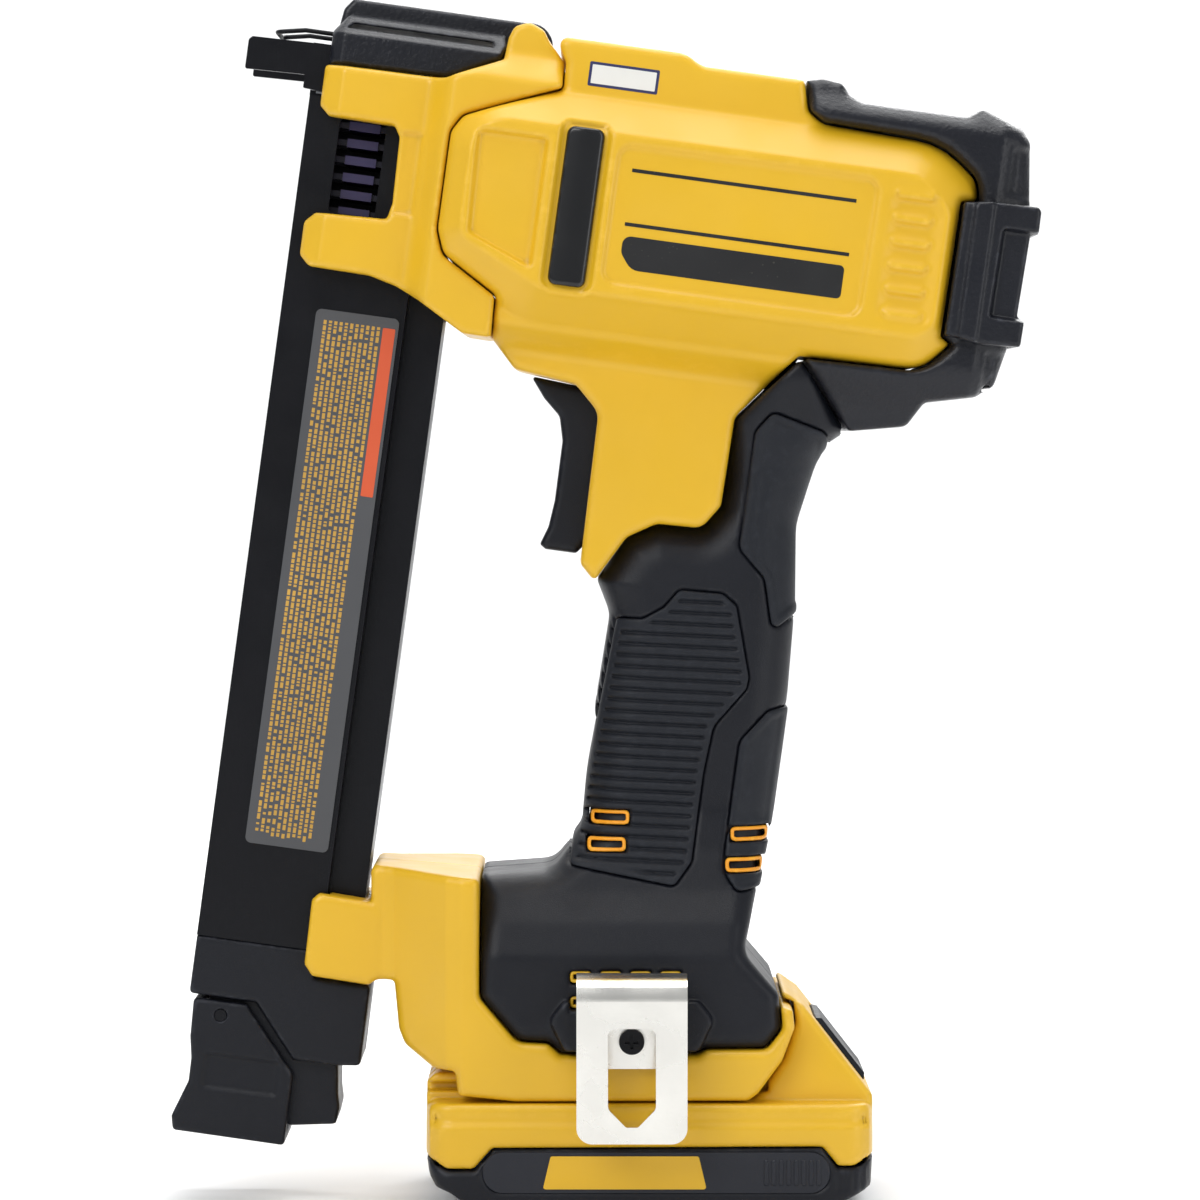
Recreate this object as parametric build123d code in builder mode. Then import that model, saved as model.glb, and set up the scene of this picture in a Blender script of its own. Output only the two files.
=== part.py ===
from build123d import *
from math import cos, radians, sin
import os

os.makedirs("parts", exist_ok=True)

# Cordless cable stapler. +Z is up with the battery's flat bottom on Z = 0, the nose points to -X, and
# Y = 0 is the plane of symmetry, so that the tool's left side is at -Y. Millimetres throughout.

# ---- driving dimensions -------------------------------------------------------------------------
barrel_tilt = 7.8           # the barrel leans nose-up by this many degrees
nose_x = -72.8              # front top corner of the nose, where the barrel's own axes start
nose_z = 293.0
fit_gap = 0.3               # clearance between neighbouring moulded pieces
slide_gap = 0.4             # clearance round a piece that slides

main_half_width = 37.0      # upper housing, over its flat sides
main_wall = 2.8
neck_half_width = 20.0
nose_half_width = 24.0
handle_half_width = 18.5
handle_wall = 2.8
foot_half_width = 36.0
foot_wall = 3.0
cover_half_width = 33.0     # rear cover
cover_wall = 3.0
clip_half_width = 38.5
insert_depth = 2.0          # side insert bars, let into the housing
insert_proud = 0.6

door_half_width = 20.0
door_wall = 2.6
ridge_half_width = 8.0
hinge_u = 53.5              # jam door hinge, in the barrel's axes
hinge_v = 12.5
hinge_pin_radius = 1.5
hinge_pin_half_length = 13.0
hinge_round = 6.0
bail_radius = 0.6
bail_half_width = 9.0

magazine_half_width = 15.0
magazine_depth = 31.9       # front to back of the channel
magazine_front = -0.4
magazine_top = -8.0
magazine_end = -225.6
magazine_wall = 1.6
rail_half_width = 10.4
rail_back = 41.1
rail_top = -46.0
rail_end = -232.0
rail_lip = 1.6
label_thickness = 0.4
staple_pitch = 4.4
staple_thickness = 2.2
staple_leg = 17.0
staple_crown = 19.0
staple_wire = 1.5
staple_count = 20
staple_tip = 3.0            # where the legs end, behind the nose's face
first_staple = -5.4
saddle_depth = 8.0
saddle_half_width = 10.8
pusher_height = 18.0
pusher_half_width = 12.6
roll_radius = 7.0
roll_half_width = 6.0
latch_pivot = (8.4, -245.5)
tail_half_width = 11.4
clamp_bolt_place = (36.6, -221.0)
clamp_bolt_radius = 2.5
clamp_bolt_depth = 17.0     # how far the bolt reaches into the left half
clamp_half_width = 20.0

trip_half_width = 14.6
trip_cheek = 1.6
trip_arm_half_width = 6.0
trip_spring_offset = 8.4
nosepiece_half_width = 12.4
staple_pocket_half_width = 11.2
blade_thickness = 1.3
blade_half_width = 9.0
carriage_half_width = 7.0
carriage_height = 6.2
return_spring_offset = 5.0

motor_u = 88.0              # flywheel axis, in the barrel's axes
motor_v = -29.0
flywheel_radius = 21.6
flywheel_bore = 16.6
flywheel_half_width = 11.0
stator_radius = 16.0
shaft_radius = 3.0
shaft_half_length = 18.0
rotor_web = 2.2
stator_bore = 5.0
frame_inner = 13.0
bearing_radius = 8.0
frame_plate = 4.0

trigger_half_width = 8.0
trigger_slot_end = 94.4     # as far back as the trigger's rear face comes when it is pulled
trigger_spring_radius = 2.4

battery_length = 113.8
battery_half_width = 38.0
battery_front = -44.3
battery_top = 28.6
base_height = 17.4
case_wall = 2.4
deck_half_width = 26.0      # raised deck that slides into the foot
deck_top = 35.2
hump_half_width = 30.0
cell_radius = 9.0
cell_length = 65.0
cell_count = 5
cell_pitch = 18.6
button_half_width = 15.0
button_length = 20.0
groove_depth = 3.2
groove_z = 31.7
rib_height = 1.4
panel_depth = 0.8
panel_proud = 0.3

loom_radius = 2.2
loom_offset = 11.0          # the loom runs on the right of the middle plane
module_bottom = -46.0

hook_thickness = 1.8
hook_width = 27.8
hook_corner = 4.0
hook_standoff = 13.0        # outer plate beyond the foot's side
hook_top = 62.9
hook_bottom = 20.6
hook_x = 8.0
hook_screw_z = 45.1
hook_nut_radius = 4.0
hook_nut_length = 8.0
hook_thread_radius = 2.0
boss_thickness = 2.2
pad_inset = 0.8
pad_proud = 0.8
grip_vent_length = 10.0
grip_vent_height = 3.6
grip_vent_frame = 0.8
screw_radius = 1.7
screw_head_radius = 3.3
screw_head_height = 2.6
screw_tip = -8.0            # the housing screws end this far past the middle plane
screw_fit = 0.2
boss_radius = 4.2
hinge_fit = 0.05

# ---- the two working planes ------------------------------------------------------------------------
tilt = radians(barrel_tilt)
# Side view: local x is X, local y is Z, and an extrusion grows towards -Y, the left side.
side = Plane.XZ
# Barrel view: local x (u) runs back along the barrel and local y (v) squarely up from it.
barrel = Plane(origin=(nose_x, 0, nose_z), x_dir=(cos(tilt), 0, -sin(tilt)), z_dir=(0, -1, 0))


# Section across the barrel: local x is Y and local y is v, and an extrusion grows towards the rear.
barrel_section = Plane(
    origin=(nose_x, 0, nose_z), x_dir=(0, 1, 0), z_dir=(cos(tilt), 0, -sin(tilt))
)
# Front view of the handle and foot: local x is Y and local y is Z.
front = Plane.YZ
far = 400.0                 # longer than the tool, for cuts that run right through


def to_side(u, v):
    """Turns a point of the barrel view into one of the side view."""
    return (nose_x + u * cos(tilt) + v * sin(tilt), nose_z - u * sin(tilt) + v * cos(tilt))


def outline(corners):
    """A closed face through rows of (x, y, corner radius)."""
    points = [(row[0], row[1]) for row in corners]
    with BuildSketch() as face:
        with BuildLine():
            FilletPolyline(*points, radius=[row[2] for row in corners], close=True)
        make_face()
    return face.sketch


def shrunk(face, wall):
    """The same face drawn in by the wall."""
    with BuildSketch() as inner:
        add(face)
        offset(amount=-wall, kind=Kind.INTERSECTION)
    return inner.sketch


def finish(builder, name):
    """Names a finished piece and writes it."""
    builder.part.label = name
    export_step(builder.part, f"parts/{name}.step")


# Housing screws: plane, place in it, and the height of the seat under the head.
main_screws = [(118.0, 6.5), (124.5, -50.0), (161.5, -30.0), (59.5, -46.0)]
main_screw_seats = [29.0, 32.0, 33.0, 33.0]
nose_screws = [(47.0, -58.0)]
nose_screw_seat = 19.5
handle_screws = [(13.0, 125.0), (41.0, 148.0)]
handle_screw_seat = handle_half_width - 4.0
foot_screws = [(-24.0, 74.0), (34.0, 58.0)]
foot_screw_seat = 31.5


def screw_holes(plane, places, seats):
    """Clearance holes with counterbores, entered from the right side."""
    with BuildPart() as holes:
        for place, seat in zip(places, seats):
            with BuildSketch(plane.offset(-seat)):
                with Locations(place):
                    Circle(screw_radius + screw_fit)
            extrude(amount=seat + abs(screw_tip))
            with BuildSketch(plane.offset(-seat)):
                with Locations(place):
                    Circle(screw_head_radius + screw_fit)
            extrude(amount=-far)
    return holes.part


def screws(plane, places, seats):
    """Screws with round heads and a driver recess, one solid for each."""
    with BuildPart() as group:
        for place, seat in zip(places, seats):
            with BuildSketch(plane.offset(-seat)):
                with Locations(place):
                    Circle(screw_radius)
            extrude(amount=seat + abs(screw_tip))
            with BuildSketch(plane.offset(-seat)):
                with Locations(place):
                    Circle(screw_head_radius)
            extrude(amount=-screw_head_height)
            with BuildSketch(plane.offset(-seat - screw_head_height)):
                with Locations(place):
                    RegularPolygon(screw_radius, 6)
            extrude(amount=screw_head_height / 2, mode=Mode.SUBTRACT)
    return group.part


# ---- wire loom ---------------------------------------------------------------------------------------
# From the terminals in the foot, up the handle beside the switch, to the control module.
loom_route = [
    (-8.0, deck_top + 10.2), (-8.0, 60.0), (12.0, 84.0), (22.0, 110.0), (24.0, 142.0),
    to_side(128.0, -100.0), to_side(128.5, -80.0), to_side(128.0, -64.0),
    to_side(133.0, -54.0), to_side(133.0, module_bottom),
]
with BuildPart() as loom_tunnel:
    with BuildLine(side.offset(-loom_offset)) as loom_line:
        FilletPolyline(*loom_route, radius=[10.0, 14.0, 30.0, 30.0, 20.0, 16.0, 8.0, 6.0])
    with BuildSketch(Plane(origin=loom_line.line @ 0, z_dir=loom_line.line % 0)):
        Circle(loom_radius + slide_gap)
    sweep()

with BuildPart() as wire_loom:
    with BuildSketch(Plane(origin=loom_line.line @ 0, z_dir=loom_line.line % 0)):
        Circle(loom_radius)
    sweep(path=loom_line.line)
finish(wire_loom, "wire_loom")

# ---- main housing ----------------------------------------------------------------------------------
# Clamshell that holds the motor, with the neck that runs down behind the trigger.
main_face = outline([
    (60.2, 14.6, 2), (93.4, 14.6, 6), (98.0, 12.0, 6), (124.2, 12.0, 1), (126.3, 4.2, 3),
    (130.4, 1.6, 4), (160.5, 0.6, 6), (171.0, -7.4, 3), (171.8, -12.4, 0.5), (167.4, -13.2, 0.5),
    (166.9, -47.9, 0.5), (169.8, -49.3, 0.5), (163.5, -56.8, 3), (132.3, -57.4, 1.5),
    (118.6, -75.0, 4), (118.2, -98.0, 3), (114.0, -104.3, 4), (102.5, -104.7, 4),
    (95.3, -109.2, 3), (88.6, -121.5, 1), (84.4, -117.5, 2), (83.8, -78.5, 5), (77.0, -72.1, 3),
    (61.2, -70.6, 3), (54.4, -63.6, 1), (54.0, -52.7, 2), (39.4, -44.0, 4), (37.2, -38.0, 4),
    (37.2, -13.0, 3), (39.8, -8.8, 3), (63.9, 1.3, 1.5), (63.7, 8.2, 1),
])
main_section = outline([
    (-19, 16, 3), (19, 16, 3), (main_half_width, 4, 5), (main_half_width, -50, 6),
    (neck_half_width, -64, 6), (neck_half_width, -130, 0), (-neck_half_width, -130, 0),
    (-neck_half_width, -64, 6), (-main_half_width, -50, 6), (-main_half_width, 4, 5),
])
insert_face = outline([
    (66.3, -7.9, 2), (76.3, -7.9, 2), (76.3, -48.3, 2), (66.3, -48.3, 2),
])

with BuildPart() as main_cavity:
    with BuildSketch(barrel):
        add(shrunk(main_face, main_wall))
    extrude(amount=main_half_width, both=True)
    with BuildSketch(barrel_section):
        add(shrunk(main_section, main_wall))
    extrude(amount=far, mode=Mode.INTERSECT)
    with BuildSketch(barrel):
        with Locations(*main_screws):
            Circle(boss_radius)
    extrude(amount=main_half_width, both=True, mode=Mode.SUBTRACT)

# The way through the front wall for the driver, the slot for the trigger and the hinge's round.
with BuildPart() as main_openings:
    with BuildSketch(barrel):
        with Locations((48, 0)):
            Rectangle(44, 16)
    extrude(amount=magazine_half_width, both=True)
    with BuildSketch(barrel):
        with Locations((trigger_slot_end - 11.0, -94.4)):
            Rectangle(22.0, 47.6)
    extrude(amount=trigger_half_width + slide_gap, both=True)
    with BuildSketch(barrel):
        with Locations((hinge_u, hinge_v)):
            Circle(hinge_round + 2 * slide_gap)
    extrude(amount=ridge_half_width + slide_gap, both=True)

main_screw_cut = screw_holes(barrel, main_screws, main_screw_seats)

with BuildPart() as main_housing_left:
    with BuildSketch(barrel):
        add(main_face)
    extrude(amount=main_half_width)
    with BuildSketch(barrel_section):
        add(main_section)
    extrude(amount=far, mode=Mode.INTERSECT)
    add(main_cavity.part, mode=Mode.SUBTRACT)
    add(main_openings.part, mode=Mode.SUBTRACT)
    with BuildSketch(barrel.offset(main_half_width - insert_depth)):
        add(insert_face)
    extrude(amount=insert_depth, mode=Mode.SUBTRACT)

with BuildPart() as main_housing_right:
    mirror(main_housing_left.part, about=Plane.XZ)
    add(main_screw_cut, mode=Mode.SUBTRACT)
    add(loom_tunnel.part, mode=Mode.SUBTRACT)
finish(main_housing_right, "main_housing_right")

with BuildPart() as main_left_drilled:
    add(main_housing_left.part)
    add(main_screw_cut, mode=Mode.SUBTRACT)
finish(main_left_drilled, "main_housing_left")

with BuildPart() as side_inserts:
    for level in (main_half_width - insert_depth, -main_half_width - insert_proud):
        with BuildSketch(barrel.offset(level)):
            add(insert_face)
        extrude(amount=insert_depth + insert_proud)
    chamfer(side_inserts.faces().sort_by(Axis.Y)[0].edges(), length=insert_proud / 2)
    chamfer(side_inserts.faces().sort_by(Axis.Y)[-1].edges(), length=insert_proud / 2)
finish(side_inserts, "side_inserts")

# ---- nose housing ----------------------------------------------------------------------------------
# C-shaped clamshell in front: an upper and a lower arm with the staple window between them.
nose_face = outline([
    (2.8, 0.0, 1), (34.1, 0.3, 4), (47.9, 7.0, 0.5), (48.7, 13.0, 0.5), (52.0, 16.8, 1),
    (58.2, 14.2, 1), (63.3, 8.2, 1), (63.6, 1.6, 1), (39.5, -8.5, 3), (36.9, -13.0, 3),
    (36.9, -38.2, 4), (39.1, -44.3, 4), (53.7, -52.9, 2), (54.1, -63.5, 1), (47.0, -63.4, 3),
    (34.0, -56.2, 4), (28.2, -53.6, 4), (21.0, -51.8, 4), (5.4, -51.5, 2), (2.7, -48.9, 1.5),
    (2.7, -40.4, 1.5), (5.4, -37.8, 1), (23.7, -37.1, 1), (24.6, -33.0, 2), (24.2, -16.0, 2),
    (22.5, -13.2, 1), (5.4, -12.9, 1), (2.8, -10.5, 1),
])
nose_section = outline([
    (-14, 18, 2), (14, 18, 2), (nose_half_width, 7, 4), (nose_half_width, -58, 4),
    (17, -66, 3), (-17, -66, 3), (-nose_half_width, -58, 4), (-nose_half_width, 7, 4),
])
pocket_half_width = magazine_half_width + slide_gap

with BuildPart() as nose_openings:
    # The magazine channel slides in this pocket, and the rail is held behind it.
    with BuildSketch(barrel):
        with Locations((magazine_front + magazine_depth / 2, -41)):
            Rectangle(magazine_depth + 2 * slide_gap, 68)
    extrude(amount=pocket_half_width, both=True)
    with BuildSketch(barrel):
        with Locations(((magazine_depth + rail_back) / 2, rail_top - 15.0)):
            Rectangle(rail_back - magazine_depth + 2, 30.0)
    extrude(amount=rail_half_width, both=True)
    # Space for the contact trip and the nosepiece, open to the front and under the jam door.
    with BuildSketch(barrel):
        with Locations((25, 6)):
            Rectangle(52, 27.2)
    extrude(amount=pocket_half_width, both=True)
    with BuildSketch(barrel):
        with Locations((50, 0)):
            Rectangle(40, 15.2)
    extrude(amount=nosepiece_half_width + slide_gap, both=True)
    with BuildSketch(barrel):
        with Locations((hinge_u, hinge_v)):
            Circle(hinge_round + slide_gap)
    extrude(amount=ridge_half_width + slide_gap, both=True)
    with BuildSketch(barrel):
        with Locations((hinge_u, hinge_v)):
            Circle(hinge_pin_radius)
    extrude(amount=hinge_pin_half_length, both=True)

nose_screw_cut = screw_holes(barrel, nose_screws, [nose_screw_seat])

with BuildPart() as nose_housing_left:
    with BuildSketch(barrel):
        add(nose_face)
    extrude(amount=nose_half_width)
    with BuildSketch(barrel_section):
        add(nose_section)
    extrude(amount=far, mode=Mode.INTERSECT)
    add(nose_openings.part, mode=Mode.SUBTRACT)

with BuildPart() as nose_housing_right:
    mirror(nose_housing_left.part, about=Plane.XZ)
    add(nose_screw_cut, mode=Mode.SUBTRACT)
finish(nose_housing_right, "nose_housing_right")

with BuildPart() as nose_left_drilled:
    add(nose_housing_left.part)
    add(nose_screw_cut, mode=Mode.SUBTRACT)
finish(nose_left_drilled, "nose_housing_left")

# ---- jam door, its hinge pin and bail ----------------------------------------------------------------
door_face = outline([
    (3.4, 0.4, 0.5), (3.4, 9.0, 2), (7.0, 14.1, 2), (47.3, 14.1, 0.5), (48.0, 10.8, 0.5),
    (47.0, 7.2, 0.5), (34.0, 0.8, 3),
])
door_inner = outline([
    (6.0, -2.0, 0), (6.0, 9.0, 1), (8.5, 11.5, 1), (44.7, 11.5, 1), (44.7, -2.0, 0),
])
door_section = outline([
    (-12, 14.2, 2), (12, 14.2, 2), (door_half_width, 8, 3), (door_half_width, -3, 0),
    (-door_half_width, -3, 0), (-door_half_width, 8, 3),
])
ridge_face = outline([
    (4.0, 9.0, 0.5), (4.9, 15.6, 2), (7.1, 18.5, 1), (hinge_u, hinge_v + hinge_round, 0),
    (hinge_u, hinge_v, 0), (44.0, 9.0, 0.5),
])
with BuildPart() as jam_door:
    with BuildSketch(barrel):
        add(door_face)
    extrude(amount=door_half_width, both=True)
    with BuildSketch(barrel_section):
        add(door_section)
    extrude(amount=far, mode=Mode.INTERSECT)
    with BuildSketch(barrel):
        add(ridge_face)
        with Locations((hinge_u, hinge_v)):
            Circle(hinge_round)
    extrude(amount=ridge_half_width, both=True)
    with BuildSketch(barrel):
        add(door_inner)
    extrude(amount=door_half_width - door_wall, both=True, mode=Mode.SUBTRACT)
    # The contact trip slides in under the door's front edge.
    with BuildSketch(barrel):
        with Locations((4.0, 1.4)):
            Rectangle(8.0, 9.0)
    extrude(amount=pocket_half_width, both=True, mode=Mode.SUBTRACT)
    with BuildSketch(barrel):
        with Locations((hinge_u, hinge_v)):
            Circle(hinge_pin_radius + hinge_fit)
    extrude(amount=ridge_half_width, both=True, mode=Mode.SUBTRACT)
finish(jam_door, "jam_door")

with BuildPart() as jam_door_pin:
    with BuildSketch(barrel):
        with Locations((hinge_u, hinge_v)):
            Circle(hinge_pin_radius)
    extrude(amount=hinge_pin_half_length, both=True)
finish(jam_door_pin, "jam_door_pin")

# The bail is one wire: two legs out of the door's front and a bar across in front of the trip.
with BuildPart() as door_bail:
    with BuildLine(barrel):
        FilletPolyline(
            (3.4, 8.6, -bail_half_width), (-4.0, 8.6, -bail_half_width),
            (-11.2, 7.2, -bail_half_width), (-11.2, 7.2, bail_half_width),
            (-4.0, 8.6, bail_half_width), (3.4, 8.6, bail_half_width), radius=2,
        )
    with BuildSketch(Plane(origin=barrel.from_local_coords((3.4, 8.6, -bail_half_width)),
                           z_dir=-barrel.x_dir)):
        Circle(bail_radius)
    sweep(transition=Transition.ROUND)
finish(door_bail, "door_bail")

# ---- nosepiece, driver and its stop -------------------------------------------------------------------
with BuildPart() as nosepiece:
    with BuildSketch(barrel):
        with Locations((15.2, -2.8)):
            Rectangle(28.6, 8.8)
    extrude(amount=nosepiece_half_width, both=True)
    with BuildSketch(barrel):
        with Locations((15.2, -1.25)):
            Rectangle(30, blade_thickness + 0.6)
    extrude(amount=blade_half_width + slide_gap, both=True, mode=Mode.SUBTRACT)
    with BuildSketch(barrel):
        with Locations((11.2, -5.2)):
            Rectangle(22, 6.2)
    extrude(amount=staple_pocket_half_width, both=True, mode=Mode.SUBTRACT)
finish(nosepiece, "nosepiece")

with BuildPart() as driver:
    with BuildSketch(barrel):
        with Locations((48.0, -1.25)):
            Rectangle(52.0, blade_thickness)
    extrude(amount=blade_half_width, both=True)
    with BuildSketch(barrel):
        with Locations((95.0, -0.2 - carriage_height / 2)):
            Rectangle(46.0, carriage_height)
    extrude(amount=carriage_half_width, both=True)
finish(driver, "driver")

with BuildPart() as driver_bumper:
    with BuildSketch(barrel):
        with Locations((33.6, -2.6)):
            Rectangle(7.4, 8.4)
    extrude(amount=nosepiece_half_width, both=True)
    with BuildSketch(barrel):
        with Locations((33.6, -1.25)):
            Rectangle(9.0, blade_thickness + 0.8)
    extrude(amount=blade_half_width + slide_gap, both=True, mode=Mode.SUBTRACT)
finish(driver_bumper, "driver_bumper")

spring_start = 118.4
spring_end = 156.0
with BuildPart() as return_springs:
    for across in (-return_spring_offset, return_spring_offset):
        place = barrel.from_local_coords((spring_start, -6.2, across))
        with BuildSketch(Plane(origin=place, z_dir=barrel.x_dir)):
            Circle(2.4)
            Circle(1.5, mode=Mode.SUBTRACT)
        extrude(amount=spring_end - spring_start)
finish(return_springs, "return_springs")

with BuildPart() as spring_anchor:
    with BuildSketch(barrel):
        with Locations((spring_end + 2.0, -6.6)):
            Rectangle(4.0, 7.6)
    extrude(amount=10.0, both=True)
finish(spring_anchor, "spring_anchor")

# ---- motor with the flywheel rim -------------------------------------------------------------------
motor_place = (motor_u, motor_v)
with BuildPart() as flywheel_rotor:
    with BuildSketch(barrel):
        with Locations(motor_place):
            Circle(flywheel_radius)
            Circle(flywheel_bore, mode=Mode.SUBTRACT)
    extrude(amount=flywheel_half_width, both=True)
    with BuildSketch(barrel.offset(flywheel_half_width - rotor_web)):
        with Locations(motor_place):
            Circle(flywheel_radius)
    extrude(amount=rotor_web)
    with BuildSketch(barrel.offset(-shaft_half_length)):
        with Locations(motor_place):
            Circle(shaft_radius)
    extrude(amount=2 * shaft_half_length)
finish(flywheel_rotor, "flywheel_rotor")

with BuildPart() as stator:
    with BuildSketch(barrel.offset(-flywheel_half_width)):
        with Locations(motor_place):
            Circle(stator_radius)
            Circle(stator_bore, mode=Mode.SUBTRACT)
            with PolarLocations(stator_radius - 1.0, 12):
                Rectangle(5.0, 2.0, mode=Mode.SUBTRACT)
    extrude(amount=2 * flywheel_half_width - rotor_web - slide_gap)
    with BuildSketch(barrel.offset(-frame_inner)):
        with Locations(motor_place):
            Circle(stator_bore + 3.0)
            Circle(stator_bore, mode=Mode.SUBTRACT)
    extrude(amount=frame_inner - flywheel_half_width)
finish(stator, "stator")

with BuildPart() as motor_frame:
    with BuildSketch(barrel):
        with Locations((92.0, -31.5)):
            RectangleRounded(50.0, 46.0, 4.0)
    extrude(amount=frame_inner + frame_plate, both=True)
    with BuildSketch(barrel):
        with Locations((90.0, -31.5)):
            Rectangle(46.0, 60.0)
    extrude(amount=frame_inner, both=True, mode=Mode.SUBTRACT)
    with BuildSketch(barrel):
        with Locations(motor_place):
            Circle(bearing_radius)
    extrude(amount=far, both=True, mode=Mode.SUBTRACT)
finish(motor_frame, "motor_frame")

with BuildPart() as motor_bearings:
    with BuildSketch(barrel):
        with Locations(motor_place):
            Circle(bearing_radius)
            Circle(shaft_radius + hinge_fit, mode=Mode.SUBTRACT)
    extrude(amount=frame_inner + frame_plate, both=True)
    with BuildSketch(barrel):
        with Locations(motor_place):
            Circle(bearing_radius)
    extrude(amount=frame_inner, both=True, mode=Mode.SUBTRACT)
finish(motor_bearings, "motor_bearings")

with BuildPart() as solenoid:
    with BuildSketch(Plane(origin=barrel.from_local_coords((72, 5.6, 0)), z_dir=barrel.x_dir)):
        Circle(4.2)
    extrude(amount=24.0)
finish(solenoid, "solenoid")

with BuildPart() as control_module:
    with BuildSketch(barrel):
        with Locations((142.0, -29.5)):
            RectangleRounded(24.0, 33.0, 2.0)
    extrude(amount=20.0, both=True)
finish(control_module, "control_module")

# ---- contact trip with the cable guide ------------------------------------------------------------------
with BuildPart() as contact_trip:
    with BuildSketch(barrel):
        add(outline([
            (-17.8, -3.5, 0.5), (-17.8, 4.0, 1), (-16.9, 4.9, 0.3), (3.6, 5.4, 0.5),
            (3.6, -3.0, 0.3), (2.6, -6.8, 0.3), (-2.4, -6.4, 0.3), (-2.4, -3.0, 0.3),
        ]))
    extrude(amount=trip_half_width, both=True)
    with BuildSketch(barrel):
        with Locations((-8.2, 0)):
            Rectangle(24.0, 30.0)
    extrude(amount=trip_half_width - trip_cheek, both=True, mode=Mode.SUBTRACT)
    with BuildSketch(barrel):
        with Locations((1.2, 3.8)):
            Rectangle(4.8, 3.2)
    extrude(amount=trip_half_width, both=True)
    with BuildSketch(barrel):
        with Locations((23.0, 3.1)):
            Rectangle(42.0, 1.8)
    extrude(amount=trip_arm_half_width, both=True)
    with BuildSketch(barrel):
        with Locations((42.0, 3.1)):
            Rectangle(4.0, 1.8)
    extrude(amount=trip_spring_offset + 1.5, both=True)
finish(contact_trip, "contact_trip")

with BuildPart() as trip_springs:
    for across in (-trip_spring_offset, trip_spring_offset):
        place = barrel.from_local_coords((13.5, 3.4, across))
        with BuildSketch(Plane(origin=place, z_dir=barrel.x_dir)):
            Circle(1.5)
            Circle(0.9, mode=Mode.SUBTRACT)
        extrude(amount=26.2)
finish(trip_springs, "trip_springs")

# ---- magazine ----------------------------------------------------------------------------------------
channel_back = magazine_front + magazine_depth
with BuildPart() as magazine_rail:
    with BuildSketch(barrel):
        with Locations(((channel_back + slide_gap + rail_back) / 2, (rail_end + rail_top) / 2)):
            Rectangle(rail_back - channel_back - slide_gap, rail_top - rail_end)
    extrude(amount=rail_half_width, both=True)
    with BuildSketch(barrel):
        with Locations((channel_back - 0.6, (magazine_end + rail_top) / 2 + 2)):
            Rectangle(2.4, rail_top - magazine_end - 6)
    extrude(amount=rail_half_width - slide_gap, both=True)
    with BuildSketch(barrel):
        with Locations((channel_back - 3.0, (magazine_end + rail_top) / 2 + 2)):
            Rectangle(2.0, rail_top - magazine_end - 6)
    extrude(amount=rail_half_width + rail_lip, both=True)
    # Hollow along its whole length.
    with BuildSketch(barrel):
        with Locations(((channel_back + slide_gap + rail_back) / 2, (rail_end + rail_top) / 2)):
            Rectangle(rail_back - channel_back - 4.0, far)
    extrude(amount=rail_half_width - 2.0, both=True, mode=Mode.SUBTRACT)
    with BuildSketch(barrel):
        with Locations(clamp_bolt_place):
            Circle(clamp_bolt_radius)
    extrude(amount=far, both=True, mode=Mode.SUBTRACT)
finish(magazine_rail, "magazine_rail")

with BuildPart() as magazine_channel:
    with BuildSketch(barrel):
        with Locations((magazine_front + magazine_depth / 2, (magazine_top + magazine_end) / 2)):
            Rectangle(magazine_depth, magazine_top - magazine_end)
    extrude(amount=magazine_half_width, both=True)
    with BuildSketch(barrel):
        with Locations((magazine_front + magazine_depth / 2, (magazine_top + magazine_end) / 2)):
            Rectangle(magazine_depth - 2 * magazine_wall, far)
    extrude(amount=magazine_half_width - magazine_wall, both=True, mode=Mode.SUBTRACT)
    with BuildSketch(barrel):
        with Locations((channel_back, (magazine_top + magazine_end) / 2)):
            Rectangle(2 * magazine_wall + 0.4, far)
    extrude(amount=rail_half_width + slide_gap, both=True, mode=Mode.SUBTRACT)
    # The staples show through this slot in the left side.
    with BuildSketch(barrel):
        with Locations((14.2, -25.0)):
            RectangleRounded(12.0, 24.0, 1.0)
    extrude(amount=far, mode=Mode.SUBTRACT)
finish(magazine_channel, "magazine_channel")

with BuildPart() as magazine_labels:
    for face in (magazine_half_width, -magazine_half_width - label_thickness):
        with BuildSketch(barrel.offset(face)):
            with Locations((19.4, -131.0)):
                RectangleRounded(21.5, 138.4, 1.5)
        extrude(amount=label_thickness)
finish(magazine_labels, "magazine_labels")

# The end block closes the channel, holds the latch and ends in the thumb tail.
with BuildPart() as magazine_base:
    with BuildSketch(barrel):
        add(outline([
            (magazine_front, magazine_end, 0), (31.0, magazine_end, 0), (31.0, -232.8, 0),
            (45.6, -232.8, 1), (45.8, -253.6, 1), (39.8, -254.4, 0.5), (28.5, -254.4, 0.5),
            (17.0, -240.9, 1), (magazine_front, -240.9, 1),
        ]))
    extrude(amount=magazine_half_width, both=True)
    with BuildSketch(barrel):
        add(outline([
            (4.6, -239.0, 0), (36.0, -239.0, 0), (40.0, -254.6, 0.5), (41.0, -262.1, 1),
            (41.9, -265.6, 1), (41.5, -270.0, 1), (29.5, -272.0, 1), (24.0, -268.0, 2),
            (12.4, -250.0, 2), (4.6, -250.0, 1.5),
        ]))
    extrude(amount=tail_half_width, both=True)
    with BuildSketch(barrel):
        with Locations(latch_pivot):
            Circle(hinge_pin_radius)
    extrude(amount=far, both=True, mode=Mode.SUBTRACT)
finish(magazine_base, "magazine_base")

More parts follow.
